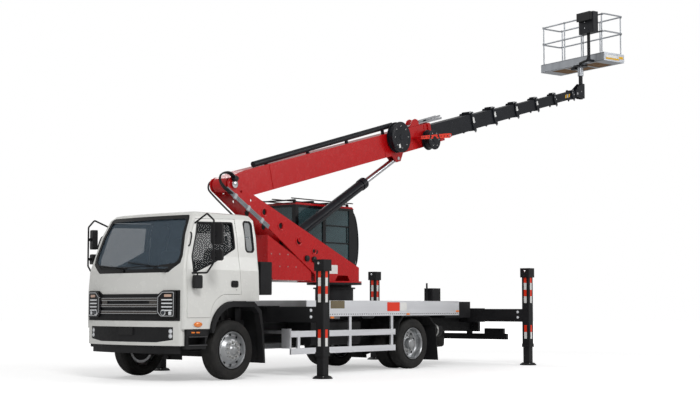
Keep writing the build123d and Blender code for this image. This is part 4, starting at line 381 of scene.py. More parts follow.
def plank(outline, origin, u, v, depth, bevel=0.0):
    """An outline (s, t) at origin + s * u + t * v, drawn out by depth along u x v, its rims cut back by bevel."""
    outline = np.asarray(outline, float)
    u, v = unit(u), unit(v)
    w = np.cross(u, v)
    mid = outline.mean(0)
    reach = np.abs(outline - mid).max(0)
    small = mid + (outline - mid) * (1 - bevel / reach)
    steps = [(outline, 0.0), (outline, depth)]
    if bevel:
        sign = np.sign(depth)
        steps = [(small, 0.0), (outline, bevel * sign), (outline, depth - bevel * sign), (small, depth)]
    return skin([np.asarray(origin) + o[:, :1] * u + o[:, 1:] * v + d * w for o, d in steps])


def rounded(width, height, radius, k=4):
    """A rectangle's outline with round corners, k + 1 points to a corner."""
    a = np.linspace(0, pi / 2, k + 1)
    parts = []
    for n, (sx, sy) in enumerate(((1, 1), (-1, 1), (-1, -1), (1, -1))):
        mid = np.array([sx * (width / 2 - radius), sy * (height / 2 - radius)])
        parts.append(mid + radius * np.stack([np.cos(a + n * pi / 2), np.sin(a + n * pi / 2)], 1))
    return np.concatenate(parts)


def brick(centre, size, u=X, v=Y, bevel=0.004, radius=None):
    """A block round a centre with cut rims."""
    w = np.cross(unit(u), unit(v))
    outline = rounded(size[0], size[1], radius or min(bevel * 2, size[0] * 0.4, size[1] * 0.4))
    return plank(outline, np.asarray(centre) - w * size[2] / 2, u, v, size[2], bevel)


def frame_band(outer, inner, near, far):
    """A closed frame between two outlines of equal count, from near to far; near and far turn (s, t) into a place."""
    rows = np.stack([near(outer), near(inner), far(inner), far(outer)], 1)
    return skin(rows, loop=True)


def P(x, y, z):
    """A place behind the front axle."""
    return np.array([AXLE + x, y, z])


hex_outline = np.stack([np.cos(np.arange(6) * pi / 3), np.sin(np.arange(6) * pi / 3)], 1)


def bolt(centre, axis, size=0.012, high=0.008):
    """A hexagon head on a round washer."""
    w = unit(axis)
    u = unit(np.cross(w, (0.3, 0.2, 1.0) if abs(w[2]) < 0.9 else Y))
    head = plank(hex_outline * size, centre, u, np.cross(w, u), high, size * 0.12)
    washer = lathe([(size * 0.2, 0), (size * 1.5, 0), (size * 1.5, high * 0.3), (size * 0.2, high * 0.3)],
        centre, w, 20)
    return joined([head, washer])


# More finishes
# deep_black: real black of the rubber seals, and painted shade in the holes and slots drawn as dark plugs, discs and
# blocks.
deep_black = moulded("deep_black", (0.006, 0.006, 0.007), 0.6)
tag_white = moulded("tag_white", (0.72, 0.72, 0.70), 0.5)
mark_red = paint("mark_red", (0.80, 0.035, 0.008), 0.35)
mark_white = paint("mark_white", (0.78, 0.78, 0.76), 0.35)
mark_yellow = paint("mark_yellow", (0.75, 0.42, 0.01), 0.4)
bolt_metal = brushed("bolt_metal", (0.55, 0.55, 0.54), 0.35)
hose_rubber = moulded("hose_rubber", (0.012, 0.012, 0.013), 0.42)
pipe_grey = satin("pipe_grey", (0.22, 0.24, 0.26), 0.4)
clamp_white = moulded("clamp_white", (0.42, 0.44, 0.46), 0.45)
plank_brown = moulded("plank_brown", (0.16, 0.09, 0.04), 0.75)
toe_grey = brushed("toe_grey", (0.34, 0.35, 0.37), 0.5)

# Tyres. Section angle s, axle angle a: half width w = W * sgn(cos s) |cos s|^0.5 and
# radius r = R + H * sgn(sin s) |sin s|^0.62, less the grooves cut in the tread.
WHEEL_Y = 0.955
TWIN = 0.300


def tyre(centre, axis, lugs=64):
    """A tyre's section turned about its axle, with two pairs of grooves and slanted notches at the shoulders."""
    s = np.linspace(0, 2 * pi, 56, endpoint=False)[None, :]
    a = np.linspace(0, 2 * pi, 192, endpoint=False)[:, None]
    bead = 0.268
    mid_r = (TYRE_R + bead) / 2
    w = 0.98 * TYRE_W / 2 * np.sign(np.cos(s)) * np.abs(np.cos(s)) ** 0.5
    high = np.sign(np.sin(s)) * np.abs(np.sin(s)) ** 0.62
    r = mid_r + (TYRE_R - bead) / 2 * high
    share = w / (TYRE_W / 2)
    tread = np.clip((high - 0.90) / 0.06, 0, 1)
    groove = np.exp(-((np.abs(share) - 0.27) / 0.05) ** 2) + np.exp(-((np.abs(share) - 0.62) / 0.05) ** 2)
    notch = (np.sin(a * lugs + 5 * share) > 0.72) * (np.abs(share) > 0.55)
    r = r + 0 * a - tread * (0.010 * np.clip(groove, 0, 1) + 0.007 * notch)
    ridge = 0.0025 * np.exp(-((high + 0.15) / 0.05) ** 2) + 0.002 * np.exp(-((high - 0.55) / 0.04) ** 2)
    w = (w + np.sign(w) * ridge) + 0 * a
    x = unit(axis)
    u = unit(np.cross(x, (0.3, 0.2, 1.0) if abs(x[2]) < 0.9 else Y))
    v = np.cross(x, u)
    pts = np.asarray(centre) + w[..., None] * x + (r * np.cos(a))[..., None] * u + (r * np.sin(a))[...,
        None] * v
    return skin(pts, loop=True)


def around(centre, axis, radius, count, height=0.0, turn=0.0):
    """count places on a circle."""
    w = unit(axis)
    u = unit(np.cross(w, (0.3, 0.2, 1.0)))
    v = np.cross(w, u)
    a = np.arange(count) * 2 * pi / count + turn
    return np.asarray(centre) + height * w + radius * (np.cos(a)[:, None] * u + np.sin(a)[:, None] * v)


FRONT_RIM = [(0.270, 0.000), (0.262, 0.006), (0.254, -0.004), (0.246, -0.030), (0.236, -0.048),
    (0.214, -0.050),
    (0.196, -0.036), (0.172, -0.004), (0.158, 0.010), (0.140, 0.014), (0.084, 0.016), (0.072, 0.020),
    (0.066, 0.034), (0.050, 0.044), (0.028, 0.047), (0.001, 0.048), (0.001, -0.150), (0.235, -0.160),
    (0.262, -0.205), (0.270, -0.200)]
REAR_RIM = [(0.270, 0.000), (0.262, 0.006), (0.252, -0.006), (0.244, -0.040), (0.240, -0.110),
    (0.222, -0.124), (0.180, -0.126), (0.130, -0.120), (0.092, -0.112), (0.088, -0.030), (0.078, -0.014),
    (0.050, -0.008), (0.001, -0.006), (0.001, -0.190), (0.235, -0.200), (0.262, -0.222), (0.270, -0.218)]
for side_name, side in SIDES:
    out = np.array([0, side, 0.0])
    hub = P(0, side * WHEEL_Y, TYRE_R)
    face = hub + out * (TYRE_W / 2 - 0.014)
    body = f"front_wheel_{side_name}"
    piece(f"front_tyre_{side_name}", tyre(hub, out), tyre_rubber, body, replaces=[body])
    rim = [lathe(FRONT_RIM, face, out, 96, loop=True)]
    piece(f"front_rim_{side_name}", rim, rim_metal, body, 50)
    nuts = [bolt(p, out, 0.015, 0.024) for p in around(face, out, 0.112, 10, 0.014)]
    nuts += [bolt(p, out, 0.006, 0.006) for p in around(face, out, 0.052, 6, 0.042)]
    piece(f"front_nuts_{side_name}", nuts, bolt_metal, body)
    # Painted shade: dark plugs stand in the rim's holes, where the holes would show shadow.
    holes = [lathe([(0.001, -0.03), (0.020, -0.03), (0.021, 0.004), (0.001, 0.004)], p, out, 20)
        for p in around(face, out, 0.216, 10, -0.047)]
    holes += [lathe([(0.001, -0.01), (0.009, -0.01), (0.009, 0.0012), (0.001, 0.0012)], p, out, 16)
        for p in around(face, out, 0.146, 10, 0.0115, 0.31)]
    piece(f"front_hole_shade_{side_name}", holes, deep_black, body)
    back = P(0, side * (WHEEL_Y - TYRE_W / 2 + 0.075), TYRE_R)
    drum = lathe([(0.05, 0), (0.19, 0), (0.20, 0.01), (0.20, 0.09), (0.05, 0.09)], back, out, 48, loop=True)
    piece(f"front_drum_{side_name}", drum, cast_metal, body)
    body = f"rear_wheels_{side_name}"
    hub = P(REAR_AXLE - AXLE, side * WHEEL_Y, TYRE_R)
    face = hub + out * (TYRE_W / 2 - 0.014)
    twins = [tyre(hub, out), tyre(hub - out * TWIN, out)]
    piece(f"rear_tyres_{side_name}", twins, tyre_rubber, body, replaces=[body])
    inner_face = hub - out * (TWIN + TYRE_W / 2 - 0.014)
    piece(f"rear_rims_{side_name}", [lathe(REAR_RIM, face, out, 96, loop=True),
            lathe(REAR_RIM, inner_face, -out, 64, loop=True)], rim_metal, body, 50)
    nuts = [bolt(p, out, 0.015, 0.028) for p in around(face, out, 0.135, 10, -0.121)]
    nuts += [bolt(p, out, 0.008, 0.008) for p in around(face, out, 0.066, 8, -0.012)]
    piece(f"rear_nuts_{side_name}", nuts, bolt_metal, body)
    # Painted shade: dark plugs stand in the rear rim's holes, where the holes would show shadow.
    holes = [lathe([(0.001, -0.02), (0.021, -0.02), (0.022, 0.003), (0.001, 0.003)], p, out, 20)
        for p in around(face, out, 0.198, 10, -0.126)]
    piece(f"rear_hole_shade_{side_name}", holes, deep_black, body)
spare_mid = middle("spare_wheel") * np.array([1, 1, 0]) + np.array([0, 0,
        box("spare_wheel")[0][2] + TYRE_W / 2 - 0.012])
piece("spare_tyre", tyre(spare_mid, Z), tyre_rubber, "chassis", replaces=["spare_wheel"])
spare_top = box("spare_wheel")[1][2]
piece("spare_rim", [lathe([(0.272, 0.10), (0.262, 0.105), (0.24, 0.03), (0.11, 0.01), (0.10, 0.0),
        (0.02, 0.0), (0.02, spare_top - spare_mid[2]), (0.001, spare_top - spare_mid[2]), (0.001, -0.02),
        (0.10, -0.02), (0.25, -0.01), (0.272, -0.09)], spare_mid, Z, 72, loop=True)], rim_metal, "chassis")

# Cab skin as in the frame: heights with the front at the middle, the front at the corner and the half width
CAB = np.array([(0.750, -1.075, -0.965, 1.055), (1.300, -1.075, -0.965, 1.055),
        (1.600, -1.030, -0.950, 1.035), (1.800, -0.965, -0.893, 1.000), (2.100, -0.855, -0.797, 0.969),
        (2.365, -0.725, -0.667, 0.917), (2.432, -0.670, -0.605, 0.855)])


def front_at(y, z, ahead=0.0):
    """Place on the cab's front at y and z, ahead of the skin: x = middle + bow * (y / half)^2."""
    mid, corner, half = (np.interp(z, CAB[:, 0], CAB[:, k]) for k in (1, 2, 3))
    x = mid + (corner - mid) * (y / (half - 0.045)) ** 2 - ahead
    return np.stack([AXLE + x, y + 0 * z, z + 0 * y], -1)


def flank_at(side, x, z, ahead=0.0):
    """Place on the cab's side at x and z, out from the skin."""
    return np.stack([AXLE + x + 0 * z, side * (np.interp(z, CAB[:, 0], CAB[:, 3]) + ahead) + 0 * x,
            z + 0 * x], -1)


def on_front(ahead):
    """Lays an outline (y, z) on the cab's front."""
    return lambda o: front_at(o[:, 0], o[:, 1], ahead)


def on_flank(side, ahead):
    """Lays an outline (x, z) on the cab's side."""
    return lambda o: flank_at(side, o[:, 0], o[:, 1], ahead)


def raised(outline, near, far):
    """An outline filled in between two layings."""
    return skin([near(outline), far(outline)])


def lined(node, low):
    """The faces of a cab node that lie well inside the cab's outline take the dark lining as a second material."""
    mesh = frame["nodes"][node].data
    centre = np.empty(3 * len(mesh.polygons))
    mesh.polygons.foreach_get("center", centre)
    x, y, z = centre.reshape(-1, 3).T
    inside = (np.abs(y) < np.interp(z, CAB[:, 0], CAB[:, 3]) - 0.03) & (x > front_at(y, z)[:, 0] + 0.05)
    inside &= (x < box("cab_shell")[1][0] - 0.03) & (z > low) & (z < box("cab_shell")[1][2] - 0.03)
    mesh.materials.append(cab_lining)
    mesh.polygons.foreach_set("material_index", inside.astype(np.int32))


cab_lining = moulded("cab_lining", (0.022, 0.023, 0.025), 0.8)
lined("cab_shell", box("cab_interior")[0][2] - 0.01)
lined("door_left", 0)
lined("door_right", 0)


SEAL_IN = -0.0175  # where the seals end, just above the glass


def dense(points, per=10):
    """Points along a closed outline's runs."""
    points = np.asarray(points, float)
    t = np.linspace(0, 1, per, endpoint=False)[None, :, None]
    after = np.roll(points, -1, 0)
    return (points[:, None] * (1 - t) + after[:, None] * t).reshape(-1, 2)


def shrunk(outline, by):
    """An outline drawn towards its middle by the same distance at its sides."""
    mid = (outline.max(0) + outline.min(0)) / 2
    reach = (outline.max(0) - outline.min(0)) / 2
    return mid + (outline - mid) * (1 - by / reach)


screen = eased(dense([(-0.75, 1.556), (0.75, 1.556), (0.938, 1.69), (0.949, 1.80), (0.848, 2.392),
        (-0.848, 2.392), (-0.949, 1.80), (-0.938, 1.69)], 8), 2, closed=True)
screen = shrunk(screen, 0.0015)
band = frame_band(screen, shrunk(screen, 0.052), on_front(-0.002), on_front(SEAL_IN))
piece("screen_seal", band, gloss_black, "chassis", 30)
lower_band = eased([(-0.74, 1.572), (0.74, 1.572), (0.90, 1.665), (0.90, 1.70), (0.5, 1.652), (0, 1.64),
        (-0.5, 1.652), (-0.90, 1.70), (-0.90, 1.665)], 2, closed=True)
piece("screen_foot", raised(lower_band, on_front(-0.010), on_front(SEAL_IN)), gloss_black, "chassis", 30)
for side_name, side in SIDES:
    quarter = rounded(0.195, 0.479, 0.058) + np.array([0.434, 2.112])
    band = frame_band(quarter, shrunk(quarter, 0.024), on_flank(side, 0.004), on_flank(side, SEAL_IN))
    piece(f"quarter_seal_{side_name}", band, deep_black, "chassis", 30)
    inner = shrunk(quarter, 0.020)
    piece(f"quarter_pane_{side_name}", raised(inner, on_flank(side, -0.009), on_flank(side, -0.0165)),
        quarter_glass, "chassis", 30)
    window = eased(dense([(-0.780, 1.536), (-0.780, 1.78), (-0.612, 2.292), (0.120, 2.317), (0.124, 1.920),
            (-0.31, 1.712)], 7), 2, closed=True)
    band = frame_band(window, shrunk(window, 0.026), on_flank(side, 0.003), on_flank(side, SEAL_IN))
    piece(f"door_seal_{side_name}", band, deep_black, f"door_{side_name}", 30)
    out = np.array([0, side, 0.0])
    recess = plank(rounded(0.150, 0.100, 0.028), P(0.052, side * 1.0545, 1.398), X, (0, 0, -side), 0.005,
        0.002)
    lever = brick(P(0.050, side * 1.064, 1.405), (0.118, 0.034, 0.014), X, Z, 0.004, 0.012)
    piece(f"door_handle_{side_name}", [recess, lever], trim, f"door_{side_name}")
    piece(f"door_lock_{side_name}", lathe([(0.001, -0.004), (0.010, -0.004), (0.010, 0.004), (0.006, 0.005),
            (0.001, 0.005)], P(0.089, side * 1.055, 1.315), out, 24), bolt_metal, f"door_{side_name}")
    oval = np.stack([0.082 * np.cos(np.linspace(0, 2 * pi, 40, endpoint=False)),
            0.038 * np.sin(np.linspace(0, 2 * pi, 40, endpoint=False))], 1)
    piece(f"marker_rim_{side_name}", plank(oval * 1.14, P(-0.698, side * 1.0545, 0.815), X, (0, 0, -side),
            0.006, 0.002), cab_paint, "chassis")
    piece(f"marker_{side_name}", plank(oval, P(-0.698, side * 1.060, 0.815), X, (0, 0, -side), 0.016, 0.007),
        lamp_amber, "chassis", 60)
    piece(f"reflector_{side_name}", [brick(P(x, side * 1.049, 0.700), (0.070, 0.022, 0.008), X, Z)
            for x in (-0.775, -0.680)], lamp_amber, "chassis")
    bar = tube(eased([flank_at(side, np.array(x), np.array(z), a) for x, z, a in
            ((-0.820, 1.93, -0.004), (-0.815, 1.95, 0.030), (-0.765, 2.11, 0.030),
            (-0.760, 2.13, -0.004))], 2), 0.010, 10)
    piece(f"grab_bar_{side_name}", bar, trim, f"door_{side_name}")
    # Two steps under the door
    piece(f"door_step_{side_name}", [brick(P(-0.68, side * 1.050, z), (0.36, 0.016, 0.02), X, Z)
            for z in (0.52, 0.64)], satin(f"step_{side_name}", (0.05, 0.05, 0.052)), "chassis")

# Wipers: arms and blades just ahead of the glass
wiper = []
for pivot, elbow, left, right in (((-0.708, 1.574), (-0.350, 1.668), (-0.52, 1.640), (0.10, 1.712)),
    ((0.173, 1.588), (0.42, 1.640), (0.10, 1.622), (0.70, 1.668))):
    line = np.array([front_at(np.array(y), np.array(z), 0.020) for y, z in (pivot, elbow)])
    blade = np.array([front_at(np.array(y), np.array(z), 0.006) for y, z in
            zip(np.linspace(left[0], right[0], 12), np.linspace(left[1], right[1], 12))])
    wiper += [tube(np.linspace(line[0], line[1], 6), 0.008, 8), tube(blade, 0.009, 8)]
    wiper.append(lathe([(0.001, -0.04), (0.024, -0.04), (0.024, 0.02), (0.016, 0.03), (0.001, 0.03)],
            front_at(np.array(pivot[0]), np.array(pivot[1]), 0.0), (-1, 0, 0.1), 20))
piece("wipers", wiper, trim, "chassis")

# Headlamps: bright frames, light bars, a round eye and a turn lamp on the dark housing
turn_lens = lens("turn_lens", (0.62, 0.40, 0.30))
FACE = 0.046  # how far the housing stands ahead of the cab's skin
BUMPER_PLATE_Z = 0.720
for side_name, side in SIDES:
    corner = eased(dense([(0.925, 0.930), (0.925, 1.278), (0.722, 1.278), (0.640, 1.205), (0.640, 0.985),
            (0.700, 0.930)], 6), 2, closed=True) * np.array([side, 1])
    band = frame_band(corner, shrunk(corner, 0.011), on_front(FACE + 0.012), on_front(FACE - 0.006))
    piece(f"lamp_frame_{side_name}", band, bright, "chassis", 30)
    shelf = []
    for z in (1.165, 1.115, 1.065, 1.015):
        outline = rounded(0.185, 0.018, 0.007) + np.array([side * 0.80, z])
        shelf.append(raised(outline, on_front(FACE - 0.004), on_front(FACE + 0.009)))
    piece(f"lamp_bars_{side_name}", shelf, lamp_clear, "chassis")
    eye = front_at(np.array(side * 0.735), np.array(0.985), FACE)
    piece(f"lamp_ring_{side_name}", lathe([(0.034, -0.01), (0.046, -0.01), (0.046, 0.006), (0.034, 0.010)],
            eye, (-1, side * 0.15, 0), 40, loop=True), bright, "chassis")
    piece(f"lamp_eye_{side_name}", lathe([(0.001, -0.01), (0.034, -0.01), (0.033, 0.002), (0.024, 0.010),
            (0.001, 0.014)], eye, (-1, side * 0.15, 0), 32),
        pane(f"eye_{side_name}", (0.02, 0.03, 0.04), 0.95), "chassis", 60)
    turn_z = rounded(0.120, 0.036, 0.010) + np.array([side * 0.815, 1.225])
    piece(f"turn_lamp_{side_name}", raised(turn_z, on_front(FACE - 0.004), on_front(FACE + 0.008)), turn_lens,
        "chassis")
    small = rounded(0.045, 0.050, 0.010) + np.array([side * 0.855, 0.975])
    piece(f"side_lamp_{side_name}", raised(small, on_front(FACE - 0.004), on_front(FACE + 0.008)), lamp_clear,
        "chassis")
    look_out = unit((-1, side * 0.24, 0))
    for z in (0.722, 0.654):
        spot = np.array([AXLE - 1.010, side * 0.835, z])
        piece(f"fog_rim_{side_name}_{int(z * 1000)}", lathe([(0.027, -0.01), (0.034, -0.01), (0.034, 0.004),
                (0.027, 0.007)], spot, look_out, 32, loop=True), bright, "chassis")
        piece(f"fog_lamp_{side_name}_{int(z * 1000)}", lathe([(0.001, -0.008), (0.027, -0.008),
                (0.025, 0.003), (0.001, 0.007)], spot, look_out, 28), lamp_clear, "chassis", 60)
edges = []
for z in (1.1915, 1.157, 1.1015, 1.0665, 1.0035, 0.9685):
    y = np.linspace(-0.615, 0.615, 28)
    edges.append(tube(front_at(y, z + 0 * y, 0.034), 0.0032, 6))
piece("grille_edges", edges, bright, "chassis")
mesh_y, mesh_z = np.meshgrid(np.arange(-0.56, 0.561, 0.035), (1.128, 1.036, 0.940))
slats = [plank(rounded(0.006, 0.05, 0.001, 1), front_at(y, z, 0.0095), Y, Z, 0.004)
    for y, z in zip(mesh_y.ravel(), mesh_z.ravel())]
piece("grille_slats", slats, trim, "chassis")
plate = rounded(0.31, 0.105, 0.01) + np.array([0.0, BUMPER_PLATE_Z])
piece("bumper_plate", plank(plate, np.array([box("bumper_trim")[0][0] + 0.002, 0, 0]), Y, Z, -0.004, 0.001),
    gloss_black, "chassis")

# Bed: painted shade in place of the slot openings along the edge profile, amber lamps and bare plates
BED_LOW, BED_HIGH = box("bed")
for side_name, side in SIDES:
    y = side * BED_HIGH[1]
    # Painted shade: thin dark blocks stand where each slot would be in shadow.
    slot_shade = many(brick((0, 0, 0), (0.030, 0.009, 0.003), X, Z, 0.0006),
        [(x, y, 0.946) for x in np.arange(BED_LOW[0] + 0.05, BED_HIGH[0] - 0.04, 0.058)])
    piece(f"bed_slot_shade_{side_name}", slot_shade, deep_black, "chassis")
    lip = brick(((BED_LOW[0] + BED_HIGH[0]) / 2, y, 0.966), (BED_HIGH[0] - BED_LOW[0] - 0.01, 0.006, 0.006),
        X, Z, 0.001)
    piece(f"bed_lip_{side_name}", lip, bed_metal, "chassis")
    lamps = [brick(P(x, side * 1.134, z), (0.085, 0.032, 0.014), X, Z, 0.004)
        for x, z in ((2.18, 0.895), (4.20, 0.940), (5.68, 0.985))]
    piece(f"bed_lamps_{side_name}", lamps, lamp_amber, "chassis")
piece("bed_plate_red", plank(rounded(0.345, 0.150, 0.012), P(3.79, -1.1305, 1.066), X, Z, 0.001), mark_red,
    "chassis")
piece("bed_plate_white", plank(rounded(0.185, 0.140, 0.03), P(4.07, -1.1305, 1.066), X, Z, 0.001), tag_white,
    "chassis")
piece("bed_plate_brown", plank(rounded(0.35, 0.125, 0.01), P(2.32, -1.1305, 1.100), X, Z, 0.001),
    satin("plate_brown", (0.16, 0.13, 0.08), 0.5), "chassis")

# Outriggers: stripes on each face of a leg's tube, lamps and pins
LEG_HALF = 0.075
STRIPES = ((1.500, 1.596, "red"), (1.374, 1.500, "white"), (1.255, 1.374, "red"), (1.132, 1.255, "white"),
    (0.603, 0.729, "red"), (0.480, 0.603, "white"))
for name, side in (("front_left", -1), ("front_right", 1), ("rear_left", -1), ("rear_right", 1)):
    low, high = box(f"outrigger_leg_{name}")
    cx, cy = (low[0] + high[0]) / 2, (low[1] + high[1]) / 2
    body = f"beam_{name}"
    stripe = {"red": [], "white": []}
    for z0, z1, tone in STRIPES:
        for nx, ny in ((1, 0), (-1, 0), (0, 1), (0, -1)):
            spot = (cx + nx * LEG_HALF, cy + ny * LEG_HALF, (z0 + z1) / 2)
            n = np.array([nx, ny, 0.0])
            u = np.cross(Z, n)
            stripe[tone].append(plank(rounded(0.056, z1 - z0, 0.001, 1), np.array(spot) - n * 0.0005, u, Z,
                    0.0015))
    piece(f"stripes_red_{name}", stripe["red"], mark_red, body)
    piece(f"stripes_white_{name}", stripe["white"], mark_white, body)
    top = box(f"outrigger_beam_{name}")[1][2]
    studs = []
    for nx, ny in ((-1, 0), (1, 0)):
        n = np.array([nx, ny, 0.0])
        studs.append(lathe([(0.001, -0.01), (0.020, -0.01), (0.020, 0.006), (0.014, 0.011), (0.001, 0.012)],
                np.array([cx + nx * 0.098, cy, top - 0.055]), n, 24))
    piece(f"cap_pins_{name}", studs, bright, body)
    beam_front = cx - 0.075
    beam_z = 0.950 if "front" in name else 0.905
    lens_set = [lathe([(0.001, -0.006), (0.024, -0.006), (0.024, 0.006), (0.016, 0.012), (0.001, 0.014)],
            np.array([beam_front, cy - side * 0.165, beam_z + dz]), AHEAD, 24) for dz in (0.062, -0.036)]
    piece(f"beam_lamps_{name}", lens_set, lamp_clear, body)
    foot = [bolt((cx + 0.085 * a, cy + 0.085 * b, 0.030), Z, 0.010, 0.010) for a,
        b in ((1, 1), (1, -1), (-1, 1), (-1, -1))]
    piece(f"foot_bolts_{name}", foot, bolt_metal, f"leg_{name}")

# Tower: rims round the holes with painted shade in them, pin caps, hoses and a bare label. Places are behind the axle
# and up.
PIVOT_AT = (0.880, 2.985)
FOOT_AT = (2.455, 2.190)
EYE_AT = (4.51, -0.298)  # along the boom and lifted from its axis
PLATE_Y = 0.205
HOLES = ((1.586, 2.584, 0.055), (1.981, 2.381, 0.055), (2.427, 2.149, 0.062), (2.807, 1.994, 0.040))
for side_name, side in SIDES:
    out = np.array([0, side, 0.0])
    rims = [lathe([(r - 0.006, -0.022), (r + 0.020, -0.002), (r + 0.018, 0.008), (r + 0.002, 0.010),
            (r - 0.006, 0.004)], P(x, side * PLATE_Y, z), out, 40, loop=True) for x, z, r in HOLES]
    piece(f"hole_rims_{side_name}", rims, tower_paint, "tower", 50)
    # Painted shade: dark discs set inside the plate holes, where the inside of the tower lies in shadow.
    shade_discs = [lathe([(0.001, -0.016), (r - 0.008, -0.016), (r - 0.004, -0.020), (0.001, -0.020)],
            P(x, side * PLATE_Y, z), out, 32) for x, z, r in HOLES]
    piece(f"hole_shade_discs_{side_name}", shade_discs, deep_black, "tower")
    cap = P(PIVOT_AT[0], side * (PLATE_Y + 0.030), PIVOT_AT[1])
    piece(f"pivot_cap_{side_name}", [lathe([(0.001, -0.01), (0.062, -0.01), (0.062, 0.006), (0.046, 0.014),
            (0.001, 0.016)], cap, out, 40)]
        + [bolt(p, out, 0.007, 0.006) for p in around(cap, out, 0.034, 4, 0.0145)], bright, "tower")
    boss = P(FOOT_AT[0], side * (PLATE_Y - 0.002), FOOT_AT[1])
    piece(f"foot_boss_{side_name}", [lathe([(0.001, 0), (0.062, 0), (0.060, 0.012), (0.030, 0.014),
            (0.028, 0.024), (0.001, 0.024)], boss, out, 36)], tower_paint, "tower", 50)
label = P(3.297, -PLATE_Y - 0.0004, 1.700)
piece("tower_label", plank(rounded(0.26, 0.15, 0.006), label, X, Z, 0.0015), tag_white, "tower")
# Painted shade: two flat dark discs on the plate stand for a pair of holes.
double = [lathe([(0.001, 0), (0.034, 0), (0.034, 0.003), (0.001, 0.003)], P(x, -PLATE_Y, z), NEAR, 24)
    for x, z in ((2.790, 2.000), (2.872, 1.985))]
piece("tower_painted_hole_pair", double, deep_black, "tower")
pads = [lathe([(0.001, 0), (0.052, 0), (0.050, 0.03), (0.040, 0.036), (0.001, 0.038)], P(x, -PLATE_Y, z),
        NEAR, 24) for x, z in ((2.62, 1.868), (2.80, 1.855))]
piece("tower_couplings", pads, hose_rubber, "tower")
start, stop = P(0.700, -0.222, 2.880), P(1.660, -0.222, 2.326)
run = unit(stop - start)
down = np.cross(run, Y)
bundle = [tube(np.linspace(start + down * k * 0.026, stop + down * k * 0.026, 12), 0.011, 10, Y)
    for k in range(3)]
piece("tower_pipes", bundle, pipe_grey, "tower")
clamps = [brick(start + run * d + down * 0.026, (0.055, 0.090, 0.036), run, down, 0.005)
    for d in (0.22, 0.56, 0.92)]
piece("tower_clamps", clamps, clamp_white, "tower")
loops = []
for k in range(3):
    y = -0.222 - 0.028 * k
    loops.append(tube(eased([P(0.790, y, 2.830), P(0.640, y, 2.900), P(0.540 - 0.02 * k, y, 3.010),
            P(0.570 - 0.02 * k, y, 3.130),
            P(0.740, y, 3.150 + 0.01 * k), P(0.850, y, 3.085)], 3), 0.013, 10, Y))
loops.append(brick(P(0.868, -0.250, 3.068), (0.075, 0.075, 0.090), run, down, 0.006))
piece("tower_hose_loops", loops, hose_rubber, "tower")
edge = tube(eased([P(0.900, 0.222, 3.075), P(0.775, 0.222, 3.040), P(0.735, 0.222, 2.950),
        P(0.775, 0.222, 2.870), P(1.60, 0.222, 2.345), P(2.40, 0.222, 1.850)], 3), 0.014, 10, Y)
piece("tower_far_hose", edge, hose_rubber, "tower")
rivets = [bolt(P(x, -0.1848, z), NEAR, 0.007, 0.004) for z in (1.72, 1.92) for x in (1.78, 1.98, 2.18, 2.38)]
piece("tower_box_bolts", rivets, bolt_metal, "tower")

# Operator's cabin: red roof with a dark rail, panes, frame bars and an outside handrail
OP_LOW, OP_HIGH = box("operator_cabin")
OP_Y = (OP_LOW[1] + OP_HIGH[1]) / 2
OP_WIDE = OP_HIGH[1] - OP_LOW[1]
top = OP_HIGH[2] - 0.022
roof = plank([(OP_LOW[0] - 0.012, top), (OP_LOW[0] + 0.02, top + 0.034), (OP_HIGH[0] - 0.165, top + 0.034),
        (OP_HIGH[0] - 0.115, top - 0.01),
        (OP_HIGH[0] - 0.145, top)], (0, OP_HIGH[1] + 0.006, 0), X, Z, OP_WIDE + 0.012)
piece("operator_roof", roof, tower_paint, "tower")
rack = []
for y in (OP_LOW[1] + 0.05, OP_Y, OP_HIGH[1] - 0.05):
    rack.append(tube(np.linspace((OP_LOW[0] - 0.05, y, top + 0.105), (OP_HIGH[0] - 0.08, y, top + 0.105), 6),
            0.010, 8))
for x in np.linspace(OP_LOW[0] + 0.03, OP_HIGH[0] - 0.24, 4):
    rack.append(brick((x, OP_Y, top + 0.078), (0.05, OP_WIDE - 0.08, 0.022), bevel=0.004))
    rack += [brick((x, y, top + 0.055), (0.045, 0.045, 0.06), bevel=0.006)
        for y in (OP_LOW[1] + 0.05, OP_HIGH[1] - 0.05)]
piece("operator_rack", rack, trim, "tower")
skirt = brick(P(3.58, OP_Y, OP_LOW[2] + 0.055), (1.40, OP_WIDE - 0.01, 0.10), bevel=0.01)
piece("operator_skirt", skirt, tower_paint, "tower")
panes = [plank(rounded(0.638, 0.936, 0.03), (AXLE + 3.920, OP_LOW[1] + 0.022, OP_LOW[2] + 0.80), X, Z, 0.005,
        0.001),
    plank(rounded(0.638, 0.816, 0.03), (AXLE + 3.200, OP_LOW[1] + 0.022, OP_LOW[2] + 0.86), X, Z, 0.005,
        0.001),
    plank(rounded(0.438, 0.856, 0.03), (AXLE + 4.040, OP_HIGH[1] - 0.018, OP_LOW[2] + 0.76), X, Z, 0.005,
        0.001),
    plank(rounded(0.820, 0.766, 0.03), (OP_LOW[0] + 0.018, OP_Y, OP_LOW[2] + 0.885), Y, Z, 0.005, 0.001)]
piece("operator_panes", panes, tinted_window, "tower")
bars = [brick((AXLE + 3.92, OP_LOW[1] + 0.010, z), (0.64, 0.020, 0.016), X, Z, 0.003) for z in (2.485, 2.185)]
bars += [brick((AXLE + 4.19, OP_LOW[1] + 0.010, 2.33), (0.018, 0.32, 0.016), X, Z, 0.003)]
bars += [brick((AXLE + 4.34, OP_Y, 2.217), (0.90, 0.026, 0.02), Y, Z, 0.003)]
piece("operator_bars", bars, trim, "tower")
rail = tube(eased([P(4.34, 0.25, 2.79), P(4.46, 0.25, 2.70), P(4.535, 0.25, 2.42), P(4.550, 0.25, 2.10),
        P(4.50, 0.25, 1.80), P(4.31, 0.26, 1.60)], 3), 0.014, 10, Y)
piece("operator_rail", rail, trim, "tower")


